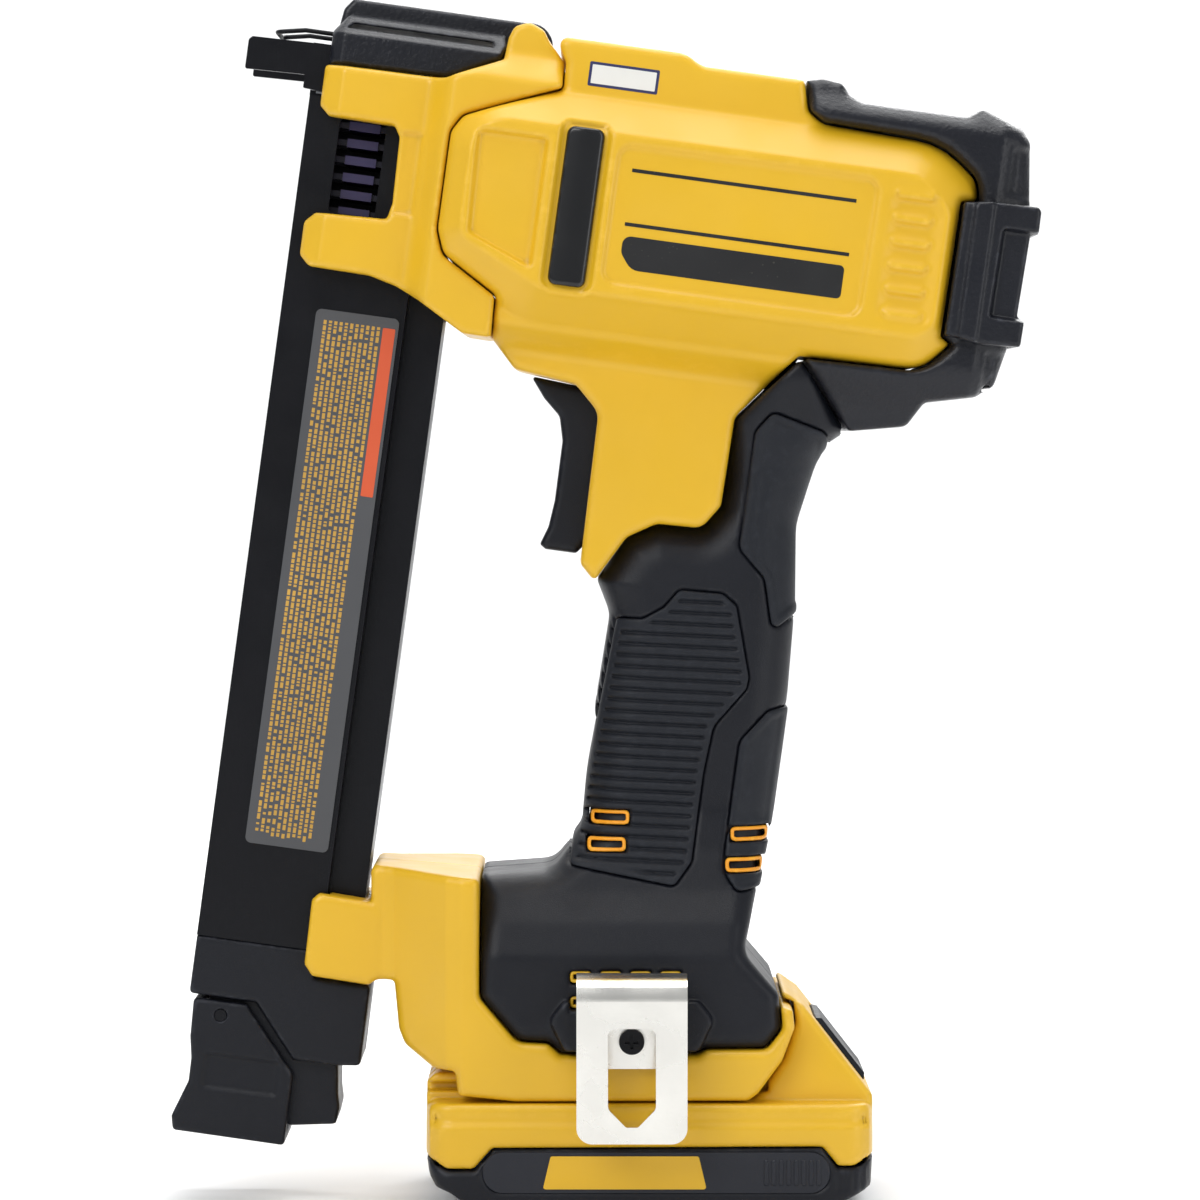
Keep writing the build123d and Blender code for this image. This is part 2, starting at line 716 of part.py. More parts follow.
with BuildPart() as magazine_latch:
    with BuildSketch(barrel):
        add(outline([
            (0.9, -241.9, 1), (14.6, -241.9, 0.5), (29.0, -258.2, 0.5),
            (29.1, -276.8, 1), (0.0, -276.6, 1), (-0.8, -273.0, 1), (2.4, -263.5, 2),
            (2.3, -257.5, 2), (1.3, -252.0, 2),
        ]))
    extrude(amount=magazine_half_width, both=True)
    with BuildSketch(barrel):
        add(outline([
            (3.6, -230.0, 0), (3.6, -252.0, 1), (4.8, -258.0, 1), (4.8, -264.0, 1),
            (3.2, -274.0, 1), (60.0, -274.0, 0), (60.0, -230.0, 0),
        ]))
    extrude(amount=tail_half_width + slide_gap, both=True, mode=Mode.SUBTRACT)
    with BuildSketch(barrel):
        with Locations(latch_pivot):
            Circle(hinge_pin_radius + hinge_fit)
    extrude(amount=far, both=True, mode=Mode.SUBTRACT)
finish(magazine_latch, "magazine_latch")

with BuildPart() as latch_pin:
    with BuildSketch(barrel):
        with Locations(latch_pivot):
            Circle(hinge_pin_radius)
    extrude(amount=magazine_half_width, both=True)
finish(latch_pin, "latch_pin")

# U-shaped wires in a strip, each with a plastic saddle between its legs.
crown_u = staple_tip + staple_leg
with BuildPart() as staples:
    for number in range(staple_count):
        level = first_staple - number * staple_pitch
        with BuildSketch(barrel):
            with Locations((staple_tip + staple_leg / 2, level)):
                Rectangle(staple_leg, staple_wire)
        extrude(amount=staple_crown / 2, both=True)
        with BuildSketch(barrel):
            with Locations((staple_tip + (staple_leg - staple_wire) / 2, level)):
                Rectangle(staple_leg - staple_wire, staple_wire)
        extrude(amount=staple_crown / 2 - staple_wire, both=True, mode=Mode.SUBTRACT)
finish(staples, "staples")

with BuildPart() as staple_saddles:
    for number in range(staple_count):
        level = first_staple - number * staple_pitch
        with BuildSketch(barrel):
            with Locations((crown_u - staple_wire - saddle_depth / 2, level)):
                Rectangle(saddle_depth, staple_thickness)
        extrude(amount=saddle_half_width, both=True)
        with BuildSketch(barrel):
            with Locations((crown_u - staple_wire - saddle_depth / 2, level)):
                Rectangle(saddle_depth, staple_wire)
        extrude(amount=staple_crown / 2, both=True, mode=Mode.SUBTRACT)
        with BuildSketch(barrel):
            with Locations((crown_u - staple_wire - saddle_depth / 2, level)):
                Rectangle(saddle_depth, staple_wire)
        extrude(amount=staple_crown / 2 - staple_wire, both=True)
finish(staple_saddles, "staple_saddles")

pusher_top = first_staple - (staple_count - 1) * staple_pitch - staple_thickness / 2
with BuildPart() as pusher:
    with BuildSketch(barrel):
        with Locations((14.0, pusher_top - pusher_height / 2)):
            Rectangle(23.0, pusher_height)
    extrude(amount=pusher_half_width, both=True)
    with BuildSketch(barrel):
        with Locations((14.0, pusher_top - pusher_height + 7.0)):
            Rectangle(roll_radius * 2 + 2, 16.0)
    extrude(amount=roll_half_width + slide_gap, both=True, mode=Mode.SUBTRACT)
finish(pusher, "pusher")

with BuildPart() as pusher_spring:
    with BuildSketch(barrel):
        with Locations((14.0, pusher_top - pusher_height + 6.0)):
            Circle(roll_radius)
            Circle(roll_radius - 3.5, mode=Mode.SUBTRACT)
    extrude(amount=roll_half_width, both=True)
finish(pusher_spring, "pusher_spring")

# ---- trigger and switch ------------------------------------------------------------------------------
with BuildPart() as trigger:
    with BuildSketch(barrel):
        add(outline([
            (65.3, -71.5, 0.5), (69.5, -76.8, 1.5), (74.0, -80.8, 3), (75.6, -87.0, 3),
            (75.7, -102.5, 5), (75.0, -109.5, 3), (73.4, -114.2, 0.5), (75.0, -115.3, 0.3),
            (83.0, -115.3, 1), (87.0, -110.0, 1), (87.0, -73.0, 0.5),
        ]))
    extrude(amount=trigger_half_width, both=True)
    fillet(trigger.edges().filter_by_position(Axis.Y, -trigger_half_width, -trigger_half_width)
           .filter_by(GeomType.LINE).sort_by(Axis.X)[:1], radius=0.8)
    # Blind hole for the spring.
    with BuildSketch(Plane(origin=barrel.from_local_coords((80.0, -90.0, 0)),
                           z_dir=barrel.x_dir)):
        Circle(trigger_spring_radius + 1.0)
    extrude(amount=10.0, mode=Mode.SUBTRACT)
finish(trigger, "trigger")

with BuildPart() as trigger_spring:
    with BuildSketch(Plane(origin=barrel.from_local_coords((87.6, -90.0, 0)),
                           z_dir=barrel.x_dir)):
        Circle(trigger_spring_radius)
        Circle(trigger_spring_radius - 0.8, mode=Mode.SUBTRACT)
    extrude(amount=8.4)
finish(trigger_spring, "trigger_spring")

with BuildPart() as trigger_switch:
    with BuildSketch(barrel):
        with Locations((104.0, -86.0)):
            RectangleRounded(16.0, 26.0, 1.5)
    extrude(amount=7.5, both=True)
finish(trigger_switch, "trigger_switch")

# ---- rear cover and clip ------------------------------------------------------------------------------
cover_face = outline([
    (124.6, 12.1, 0.3), (129.0, 13.2, 2), (133.9, 12.6, 1), (136.2, 10.0, 1), (139.5, 8.5, 1),
    (166.5, 8.5, 3), (170.2, 11.0, 1.5), (180.6, 7.6, 3), (183.2, 4.0, 3), (185.3, -12.0, 4),
    (184.5, -49.0, 5), (182.5, -58.5, 3), (178.0, -61.8, 3), (165.6, -64.9, 2),
    (162.0, -71.5, 3), (147.8, -74.6, 1), (133.9, -57.9, 0.3), (163.7, -57.2, 3),
    (170.2, -49.4, 0.3), (167.3, -47.6, 0.3), (167.8, -13.7, 0.3), (172.2, -12.9, 0.3),
    (171.3, -7.1, 3), (160.6, 1.0, 6), (130.6, 2.0, 3.6), (126.7, 4.4, 2.8),
])
cover_section = outline([
    (-24, 14, 4), (24, 14, 4), (cover_half_width, 4, 5), (cover_half_width, -52, 6),
    (23, -76, 5), (-23, -76, 5), (-cover_half_width, -52, 6), (-cover_half_width, 4, 5),
])
with BuildPart() as rear_cover:
    with BuildSketch(barrel):
        add(cover_face)
    extrude(amount=cover_half_width, both=True)
    with BuildSketch(barrel_section):
        add(cover_section)
    extrude(amount=far, mode=Mode.INTERSECT)
    with BuildSketch(barrel):
        with Locations((175.5, -30.0)):
            Rectangle(11.5, 60.0)
    extrude(amount=cover_half_width - 2 * cover_wall, both=True, mode=Mode.SUBTRACT)
finish(rear_cover, "rear_cover")

with BuildPart() as rear_clip:
    with BuildSketch(barrel):
        add(outline([
            (168.0, -13.6, 0.3), (174.5, -12.6, 1), (186.6, -12.4, 0.5), (187.5, -13.4, 0.4),
            (187.6, -19.2, 0.4), (185.7, -19.7, 0.3), (185.2, -40.3, 0.3), (187.0, -41.4, 0.4),
            (186.9, -47.9, 0.5), (177.4, -48.6, 1), (167.6, -47.4, 0.3),
        ]))
    extrude(amount=clip_half_width, both=True)
    with BuildSketch(barrel):
        with Locations((170.0, -30.0)):
            Rectangle(31.2, 60.0)
    extrude(amount=cover_half_width + fit_gap, both=True, mode=Mode.SUBTRACT)
finish(rear_clip, "rear_clip")

# ---- handle and foot shell ----------------------------------------------------------------------------
handle_face = outline([
    (*to_side(89.3, -121.2), 0.5), (2.6, 152.0, 8), (-1.2, 128.5, 20), (-4.0, 97.0, 6),
    (-12.0, 87.0, 6), (-30.4, 85.6, 1), (-30.3, 55.6, 3), (-20.8, 44.4, 5), (-13.0, 44.0, 2),
    (-9.8, 41.2, 1), (24.4, 41.2, 1), (26.8, 42.5, 1), (42.0, 42.6, 3), (46.0, 47.5, 3),
    (45.4, 56.2, 2), (36.6, 66.6, 5), (40.4, 82.7, 20), (44.3, 101.2, 40), (48.5, 131.6, 40),
    (50.0, 150.0, 40), (50.2, 175.0, 15), (56.4, 194.4, 8), (*to_side(147.4, -74.7), 2),
    (*to_side(133.0, -58.0), 1.2), (*to_side(119.0, -75.4), 4),
    (*to_side(118.5, -98.2), 3), (*to_side(114.2, -104.7), 4), (*to_side(102.4, -105.1), 4),
    (*to_side(95.6, -109.5), 3),
])
handle_section = outline([
    (foot_half_width, 38, 0), (foot_half_width, 66, 8), (26, 82, 8), (handle_half_width, 100, 12),
    (handle_half_width, 196, 10), (26, 212, 6), (26, 225, 0), (-26, 225, 0), (-26, 212, 6),
    (-handle_half_width, 196, 10), (-handle_half_width, 100, 12), (-26, 82, 8),
    (-foot_half_width, 66, 8), (-foot_half_width, 38, 0),
])
hook_nut_place = (hook_x, hook_screw_z)
boss_face = outline([
    (-13.0, 50.0, 2), (-9.0, 55.0, 2), (25.0, 55.0, 2), (29.0, 50.0, 2), (25.0, 42.0, 2),
    (-9.0, 42.0, 2),
])
boss_outer = foot_half_width + boss_thickness
nut_bottom = boss_outer - hook_nut_length
grip_vent_places = [(2.6, 100.1), (1.7, 93.3), (38.4, 95.9), (37.0, 88.2)]
# The pads lie along the handle, so they are drawn in the barrel view.
front_pad_face = outline([
    (95.6, -130.1, 1), (102.2, -129.4, 3), (107.3, -125.7, 3), (110.6, -120.7, 2),
    (121.6, -120.2, 2), (125.5, -122.7, 2), (131.2, -140.5, 2), (130.9, -143.6, 1),
    (123.9, -154.1, 6), (123.0, -166.0, 10), (123.0, -189.0, 3), (119.4, -195.6, 2), (96.4, -194.0, 1),
])
rear_pad_face = outline([
    (139.6, -146.5, 1), (137.4, -148.5, 2), (131.2, -157.0, 5), (131.2, -190.0, 3),
    (135.4, -194.8, 2), (138.6, -192.5, 1), (140.2, -170.0, 20),
])
upper_pad_face = outline([
    (141.0, -76.0, 3), (128.0, -72.5, 2), (124.2, -78.0, 4), (124.2, -108.0, 4), (131.8, -114.8, 4),
    (135.6, -128.0, 1.5), (139.4, -120.0, 1.5), (136.8, -98.0, 8),
])
vent_rows = [(6.5, 60.6), (6.5, 54.2)]
vent_slots = 4
vent_pitch = 7.6

with BuildPart() as handle_cavity:
    with BuildSketch(side):
        add(shrunk(handle_face, handle_wall))
    extrude(amount=foot_half_width, both=True)
    with BuildSketch(front):
        add(shrunk(handle_section, handle_wall))
    extrude(amount=far, both=True, mode=Mode.INTERSECT)
    with BuildSketch(side):
        with Locations(*handle_screws, *foot_screws):
            Circle(boss_radius)
    extrude(amount=foot_half_width, both=True, mode=Mode.SUBTRACT)
    for across in (1, -1):
        with BuildSketch(side.offset(across * (nut_bottom - 2.0))):
            with Locations(hook_nut_place):
                Circle(hook_nut_radius + 2.5)
        extrude(amount=across * 20.0, mode=Mode.SUBTRACT)
    # Open at the bottom over the battery's terminals.
    with BuildSketch(side):
        with Locations((-10.0, 43.0)):
            Rectangle(31.0, 9.0)
    extrude(amount=20.5, both=True)

with BuildPart() as side_recesses:
    with BuildSketch(side.offset(foot_half_width - foot_wall - 6.0)):
        for row in vent_rows:
            with Locations(row):
                with GridLocations(vent_pitch, 1.0, vent_slots, 1):
                    Rectangle(5.6, 3.4)
    extrude(amount=20.0)
    with BuildSketch(side.offset(nut_bottom)):
        with Locations(hook_nut_place):
            Circle(hook_nut_radius)
    extrude(amount=20.0)
    with BuildSketch(barrel.offset(handle_half_width - pad_inset)):
        add(front_pad_face)
        add(rear_pad_face)
        add(upper_pad_face)
    extrude(amount=20.0)
    with BuildSketch(side.offset(handle_half_width - pad_inset)):
        with Locations(*grip_vent_places):
            Rectangle(grip_vent_length, grip_vent_height)
    extrude(amount=20.0)

handle_screw_cut = screw_holes(
    side, handle_screws + foot_screws, [handle_screw_seat] * 2 + [foot_screw_seat] * 2
)

with BuildPart() as grip_shell_left:
    with BuildSketch(side):
        add(handle_face)
    extrude(amount=foot_half_width)
    with BuildSketch(front):
        add(handle_section)
    extrude(amount=far, both=True, mode=Mode.INTERSECT)
    with BuildSketch(side.offset(foot_half_width - 4.0)):
        add(boss_face)
    extrude(amount=4.0 + boss_thickness)
    add(handle_cavity.part, mode=Mode.SUBTRACT)
    add(side_recesses.part, mode=Mode.SUBTRACT)

with BuildPart() as grip_shell_right:
    mirror(grip_shell_left.part, about=Plane.XZ)
    add(handle_screw_cut, mode=Mode.SUBTRACT)
    add(loom_tunnel.part, mode=Mode.SUBTRACT)
finish(grip_shell_right, "grip_shell_right")

with BuildPart() as grip_left_drilled:
    add(grip_shell_left.part)
    add(handle_screw_cut, mode=Mode.SUBTRACT)
finish(grip_left_drilled, "grip_shell_left")

for pad_name, pad_face in (
    ("grip_pad_front", front_pad_face),
    ("grip_pad_rear", rear_pad_face),
    ("grip_pad_upper", upper_pad_face),
):
    with BuildPart() as pads:
        for level in (handle_half_width - pad_inset, -handle_half_width - pad_proud):
            with BuildSketch(barrel.offset(level)):
                add(pad_face)
            extrude(amount=pad_inset + pad_proud)
        with BuildSketch(side):
            with Locations(*grip_vent_places):
                Rectangle(grip_vent_length, grip_vent_height)
        extrude(amount=far, both=True, mode=Mode.SUBTRACT)
    finish(pads, pad_name)

with BuildPart() as grip_vent_liners:
    for level in (handle_half_width - pad_inset, -handle_half_width - fit_gap):
        with BuildSketch(side.offset(level)):
            with Locations(*grip_vent_places):
                Rectangle(grip_vent_length, grip_vent_height)
                Rectangle(grip_vent_length - 2 * grip_vent_frame,
                          grip_vent_height - 2 * grip_vent_frame, mode=Mode.SUBTRACT)
        extrude(amount=pad_inset + fit_gap)
finish(grip_vent_liners, "grip_vent_liners")

with BuildPart() as foot_vent_grilles:
    for level in (foot_half_width - foot_wall - 1.4, -foot_half_width + foot_wall + 0.2):
        with BuildSketch(side.offset(level)):
            with Locations((6.5, 61.0)):
                RectangleRounded(32.0, 7.0, 1.0)
                with GridLocations(vent_pitch, 1.0, vent_slots, 1):
                    Rectangle(5.0, 2.6, mode=Mode.SUBTRACT)
        extrude(amount=1.2)
finish(foot_vent_grilles, "foot_vent_grilles")

# ---- foot bracket: rim round the battery, and the arm that clamps the magazine rail -------------------
bracket_face = outline([
    (-58.8, 88.0, 2), (-31.6, 85.9, 0.5), (-30.7, 84.9, 0.3), (-30.7, 55.4, 3), (-21.0, 44.0, 4),
    (-13.1, 43.6, 2), (-10.0, 40.8, 1), (24.6, 40.8, 1), (27.0, 42.1, 1), (42.3, 42.2, 3),
    (46.4, 47.4, 3), (45.9, 53.4, 0.5), (48.9, 52.4, 1), (49.4, 47.8, 1), (46.2, 39.3, 4),
    (40.1, 31.0, 2), (37.6, 29.2, 1), (-21.5, 29.0, 3), (-36.0, 30.5, 1), (-36.8, 36.6, 1),
    (-42.4, 36.9, 2), (-50.0, 42.2, 3), (-51.6, 46.0, 3), (-52.8, 58.3, 1), (-58.6, 58.3, 1),
])
clamp_face = outline([
    (27.9, -212.3, 1), (29.6, -210.4, 1), (44.4, -210.9, 1.5), (46.4, -213.8, 1.5),
    (47.2, -230.2, 1), (45.4, -232.1, 1), (30.6, -231.8, 1), (28.2, -229.0, 1),
])
with BuildPart() as foot_bracket_left:
    with BuildSketch(side):
        add(bracket_face)
    extrude(amount=foot_half_width)
    with BuildSketch(Plane.XY):
        add(outline([
            (-90, 20, 0), (-56, 20, 4), (-36, foot_half_width, 8), (60, foot_half_width, 0),
            (60, -foot_half_width, 0), (-36, -foot_half_width, 8), (-56, -20, 4), (-90, -20, 0),
        ]))
    extrude(amount=far, mode=Mode.INTERSECT)
    with BuildSketch(barrel):
        add(clamp_face)
    extrude(amount=clamp_half_width)
    # The rail sits in the clamp, and the channel slides past inside its jaws.
    with BuildSketch(barrel):
        with Locations(((channel_back + slide_gap + rail_back) / 2, -220.0)):
            Rectangle(rail_back - channel_back - slide_gap, 40.0)
    extrude(amount=rail_half_width, both=True, mode=Mode.SUBTRACT)
    with BuildSketch(barrel):
        with Locations((20.0, -220.0)):
            Rectangle(2 * (channel_back + slide_gap - 20.0), 40.0)
    extrude(amount=pocket_half_width, both=True, mode=Mode.SUBTRACT)
    with BuildSketch(barrel):
        with Locations(clamp_bolt_place):
            Circle(clamp_bolt_radius)
    extrude(amount=clamp_bolt_depth, mode=Mode.SUBTRACT)
    # Slideway for the battery's deck, with a rib that runs in the deck's groove.
    with BuildSketch(side):
        with Locations((0.0, deck_top / 2 + slide_gap / 2)):
            Rectangle(far, deck_top + slide_gap)
    extrude(amount=deck_half_width + slide_gap, mode=Mode.SUBTRACT)
    with BuildSketch(side.offset(deck_half_width - groove_depth + slide_gap)):
        with Locations((1.0, groove_z)):
            Rectangle(66.0, rib_height)
    extrude(amount=groove_depth + 0.5)
    with BuildSketch(side):
        with Locations((-2.0, 40.0)):
            Rectangle(50.0, 14.0)
    extrude(amount=24.0, mode=Mode.SUBTRACT)
    with BuildSketch(side):
        with Locations((-44.0, 66.0)):
            RectangleRounded(20.0, 32.0, 3.0)
    extrude(amount=17.0, mode=Mode.SUBTRACT)
finish(foot_bracket_left, "foot_bracket_left")

with BuildPart() as foot_bracket_right:
    mirror(foot_bracket_left.part, about=Plane.XZ)
    with BuildSketch(barrel):
        with Locations(clamp_bolt_place):
            Circle(clamp_bolt_radius)
    extrude(amount=-far, mode=Mode.SUBTRACT)
finish(foot_bracket_right, "foot_bracket_right")

with BuildPart() as clamp_bolt:
    with BuildSketch(barrel.offset(-clamp_half_width)):
        with Locations(clamp_bolt_place):
            Circle(clamp_bolt_radius)
    extrude(amount=clamp_half_width + clamp_bolt_depth)
    with BuildSketch(barrel.offset(-clamp_half_width)):
        with Locations(clamp_bolt_place):
            RegularPolygon(4.4, 6)
    extrude(amount=-3.0)
finish(clamp_bolt, "clamp_bolt")

# ---- belt hook ------------------------------------------------------------------------------------------
hook_inner = -boss_outer - hook_thickness / 2
hook_outer = hook_inner - hook_standoff + hook_thickness
bend_middle = (hook_inner + hook_outer) / 2
bend_radius = (hook_inner - hook_outer) / 2
bend_z = hook_top - bend_radius - hook_thickness / 2
tab_bottom = hook_screw_z - 7.0
window_half_width = 6.0     # bottle-opener window in the outer plate
window_top = hook_screw_z + 4.5
window_bottom = hook_bottom + 4.2
window_point = 4.6
window_tip = 1.5
with BuildPart() as belt_hook:
    with BuildSketch(Plane.YZ.offset(hook_x - hook_width / 2)):
        with Locations((bend_middle, bend_z)):
            Circle(bend_radius + hook_thickness / 2)
            Circle(bend_radius - hook_thickness / 2, mode=Mode.SUBTRACT)
        with Locations((bend_middle, bend_z - bend_radius)):
            Rectangle(far, 2 * bend_radius, mode=Mode.SUBTRACT)
        with Locations((hook_inner, (bend_z + tab_bottom) / 2)):
            Rectangle(hook_thickness, bend_z - tab_bottom)
        with Locations((hook_outer, (bend_z + hook_bottom) / 2)):
            Rectangle(hook_thickness, bend_z - hook_bottom)
    extrude(amount=hook_width)
    fillet(belt_hook.edges().filter_by(Axis.Y).group_by(Axis.Z)[0], radius=hook_corner)
    with BuildSketch(side.offset(-hook_outer - 2.0)):
        add(outline([
            (hook_x - window_half_width, window_top, 2), (hook_x + window_half_width, window_top, 2),
            (hook_x + window_half_width, window_bottom + window_point, 2),
            (hook_x + window_tip, window_bottom, 1), (hook_x - window_tip, window_bottom, 1),
            (hook_x - window_half_width, window_bottom + window_point, 2),
        ]))
    extrude(amount=2 * hook_thickness, mode=Mode.SUBTRACT)
    with BuildSketch(side):
        with Locations(hook_nut_place):
            Circle(hook_thread_radius + screw_fit)
    extrude(amount=-hook_inner + 2.0, mode=Mode.SUBTRACT)
finish(belt_hook, "belt_hook")

with BuildPart() as hook_screw:
    with BuildSketch(side.offset(nut_bottom + 0.5)):
        with Locations(hook_nut_place):
            Circle(hook_thread_radius - hinge_fit)
    extrude(amount=hook_nut_length - 0.5 + hook_thickness)
    with BuildSketch(side.offset(boss_outer + hook_thickness)):
        with Locations(hook_nut_place):
            Circle(3.2)
    extrude(amount=2.0)
    with BuildSketch(side.offset(boss_outer + hook_thickness + 1.0)):
        with Locations(hook_nut_place):
            Rectangle(3.4, 0.8)
            Rectangle(0.8, 3.4)
    extrude(amount=1.0, mode=Mode.SUBTRACT)
finish(hook_screw, "hook_screw")

with BuildPart() as hook_nuts:
    for level in (nut_bottom, -boss_outer):
        with BuildSketch(side.offset(level)):
            with Locations(hook_nut_place):
                Circle(hook_nut_radius)
                Circle(hook_thread_radius, mode=Mode.SUBTRACT)
        extrude(amount=hook_nut_length)
finish(hook_nuts, "hook_nuts")

# ---- battery ---------------------------------------------------------------------------------------------
battery_rear = battery_front + battery_length
body_face = outline([
    (battery_front, 15.1, 0.3), (battery_front, battery_top, 3), (battery_rear, battery_top, 3),
    (battery_rear, 15.5, 0.3), (64.3, 13.0, 0.5), (60.3, 13.0, 0.5), (56.3, base_height + 0.5, 1),
    (-27.3, base_height + 0.1, 1), (-32.0, 12.2, 1), (-38.8, 12.2, 1),
])
base_face = outline([
    (battery_front, 14.9, 0.3), (-43.6, 10.5, 1), (-41.6, 7.4, 1), (-38.0, 6.0, 2), (-32.0, 1.6, 2),
    (-27.0, 0.0, 2), (55.6, 0.0, 3), (62.0, 4.0, 2), (69.0, 7.4, 1), (battery_rear, 15.2, 0.3),
    (64.4, 12.7, 0.5), (60.1, 12.7, 0.5), (56.1, base_height + 0.3, 1),
    (-27.1, base_height - 0.1, 1), (-31.8, 11.9, 1), (-38.9, 11.9, 1),
])
hump_face = outline([
    (38.6, 27.0, 0), (38.6, 28.6, 1), (41.2, 30.6, 2), (47.0, 39.0, 3), (50.1, 47.9, 1),
    (49.6, 53.1, 0.5), (46.6, 54.1, 0.3), (46.6, 56.2, 0.5), (52.0, 52.4, 2),
    (battery_rear, 30.0, 2), (battery_rear, 27.0, 0),
])
panel_face = outline([
    (-30.0, 6.0, 5), (58.6, 6.0, 5), (58.6, 16.8, 5), (-30.0, 16.8, 5),
])
slope = Plane(origin=(61.7, 0, 40.0), x_dir=(0, 1, 0), z_dir=(0.788, 0, 0.616))
pack_screw_places = [(-37.4, 31.0), (-37.4, -31.0), (64.0, 31.0), (64.0, -31.0)]
terminal_offsets = [-16.0, -6.0, 6.0, 16.0]

with BuildPart() as case_cavity:
    with BuildSketch(side):
        with Locations(((battery_front + battery_rear) / 2, battery_top / 2 - case_wall / 2)):
            Rectangle(battery_length - 2 * case_wall, battery_top - case_wall)
    extrude(amount=battery_half_width - case_wall, both=True)
    with BuildSketch(side):
        with Locations((0.0, deck_top - case_wall - 6.0)):
            Rectangle(84.0, 12.0)
    extrude(amount=deck_half_width - groove_depth - case_wall, both=True)
    with BuildSketch(side):
        add(shrunk(hump_face, case_wall))
    extrude(amount=hump_half_width - case_wall, both=True)
    with BuildSketch(side):
        with Locations((54.0, 28.0)):
            Rectangle(22.0, 8.0)
    extrude(amount=hump_half_width - case_wall, both=True)
    with BuildSketch(slope.offset(-18.0)):
        Rectangle(far, 5.0)
    extrude(amount=3.0, mode=Mode.SUBTRACT)
    with BuildSketch(Plane.XY):
        with Locations(*pack_screw_places):
            Circle(3.3)
    extrude(amount=far, mode=Mode.SUBTRACT)

with BuildPart() as pack_screw_holes:
    with BuildSketch(Plane.XY):
        with Locations(*pack_screw_places):
            Circle(1.4)
    extrude(amount=22.0)
    with BuildSketch(Plane.XY):
        with Locations(*pack_screw_places):
            Circle(2.6)
    extrude(amount=8.0)

with BuildPart() as panel_recess:
    with BuildSketch(side.offset(-battery_half_width - 1.0)):
        add(panel_face)
    extrude(amount=1.0 + panel_depth)
    with BuildSketch(side.offset(battery_half_width - panel_depth)):
        add(panel_face)
    extrude(amount=1.0 + panel_depth)

with BuildPart() as battery_case:
    with BuildSketch(side):
        add(body_face)
    extrude(amount=battery_half_width, both=True)
    with BuildSketch(side):
        add(outline([
            (battery_front, 20.0, 0), (battery_front, 33.0, 1.5), (-42.0, deck_top, 1.5),
            (44.6, deck_top, 0.5), (44.6, 20.0, 0),
        ]))
    extrude(amount=deck_half_width, both=True)
    with BuildSketch(side):
        add(hump_face)
    extrude(amount=hump_half_width, both=True)
    add(case_cavity.part, mode=Mode.SUBTRACT)
    for across in (1, -1):
        with BuildSketch(side.offset(across * (deck_half_width - groove_depth))):
            with Locations((-2.0, groove_z)):
                Rectangle(90.0, rib_height + 2 * slide_gap)
        extrude(amount=across * (groove_depth + 1.0), mode=Mode.SUBTRACT)
    for offset_y in terminal_offsets:
        with BuildSketch(Plane.XY.offset(deck_top - 4.2)):
            with Locations((-25.0, offset_y)):
                Rectangle(44.0, 2.0)
        extrude(amount=10.0, mode=Mode.SUBTRACT)
    with BuildSketch(slope.offset(-10.5)):
        Rectangle(2 * button_half_width + 2 * slide_gap, button_length + 2 * slide_gap)
    extrude(amount=20.0, mode=Mode.SUBTRACT)
    add(pack_screw_holes.part, mode=Mode.SUBTRACT)
    add(panel_recess.part, mode=Mode.SUBTRACT)
finish(battery_case, "battery_case")

with BuildPart() as battery_base:
    with BuildSketch(side):
        add(base_face)
    extrude(amount=battery_half_width, both=True)
    with BuildSketch(side):
        add(outline([
            (-41.8, 12.0, 0), (-38.0, 8.8, 2), (-31.0, 4.2, 2), (-26.0, 2.6, 2), (55.0, 2.6, 2),
            (61.4, 6.4, 2), (67.0, 9.6, 1), (67.0, 40.0, 0), (-41.8, 40.0, 0),
        ]))
    extrude(amount=battery_half_width - case_wall, both=True, mode=Mode.SUBTRACT)
    with BuildSketch(Plane.XY.offset(6.0)):
        with Locations(*pack_screw_places):
            Circle(3.3)
    extrude(amount=6.0)
    add(pack_screw_holes.part, mode=Mode.SUBTRACT)
    add(panel_recess.part, mode=Mode.SUBTRACT)
finish(battery_base, "battery_base")

with BuildPart() as battery_screws:
    with BuildSketch(Plane.XY.offset(8.0)):
        with Locations(*pack_screw_places):
            Circle(1.35)
    extrude(amount=13.0)
    with BuildSketch(Plane.XY.offset(6.3)):
        with Locations(*pack_screw_places):
            Circle(2.4)
    extrude(amount=1.7)
finish(battery_screws, "battery_screws")

with BuildPart() as battery_panels:
    for level in (battery_half_width - panel_depth, -battery_half_width - panel_proud):
        with BuildSketch(side.offset(level)):
            add(panel_face)
        extrude(amount=panel_depth + panel_proud)
finish(battery_panels, "battery_panels")

with BuildPart() as battery_cells:
    for number in range(cell_count):
        along = 12.6 + (number - (cell_count - 1) / 2) * cell_pitch
        with BuildSketch(side.offset(-cell_length / 2)):
            with Locations((along, 13.4)):
                Circle(cell_radius)
        extrude(amount=cell_length)
finish(battery_cells, "battery_cells")

with BuildPart() as battery_contacts:
    for offset_y in terminal_offsets:
        with BuildSketch(Plane.XY.offset(26.4)):
            with Locations((-20.0, offset_y)):
                Rectangle(16.0, 4.0)
        extrude(amount=4.4)
finish(battery_contacts, "battery_contacts")

with BuildPart() as battery_button:
    with BuildSketch(slope.offset(-6.0)):
        Rectangle(2 * button_half_width, button_length)
    extrude(amount=7.2)
    chamfer(battery_button.faces().sort_by(Axis((0, 0, 0), (0.788, 0, 0.616)))[-1].edges(), length=1.0)
    with BuildSketch(slope.offset(-6.0)):
        Circle(3.6)
    extrude(amount=5.0, mode=Mode.SUBTRACT)
finish(battery_button, "battery_button")

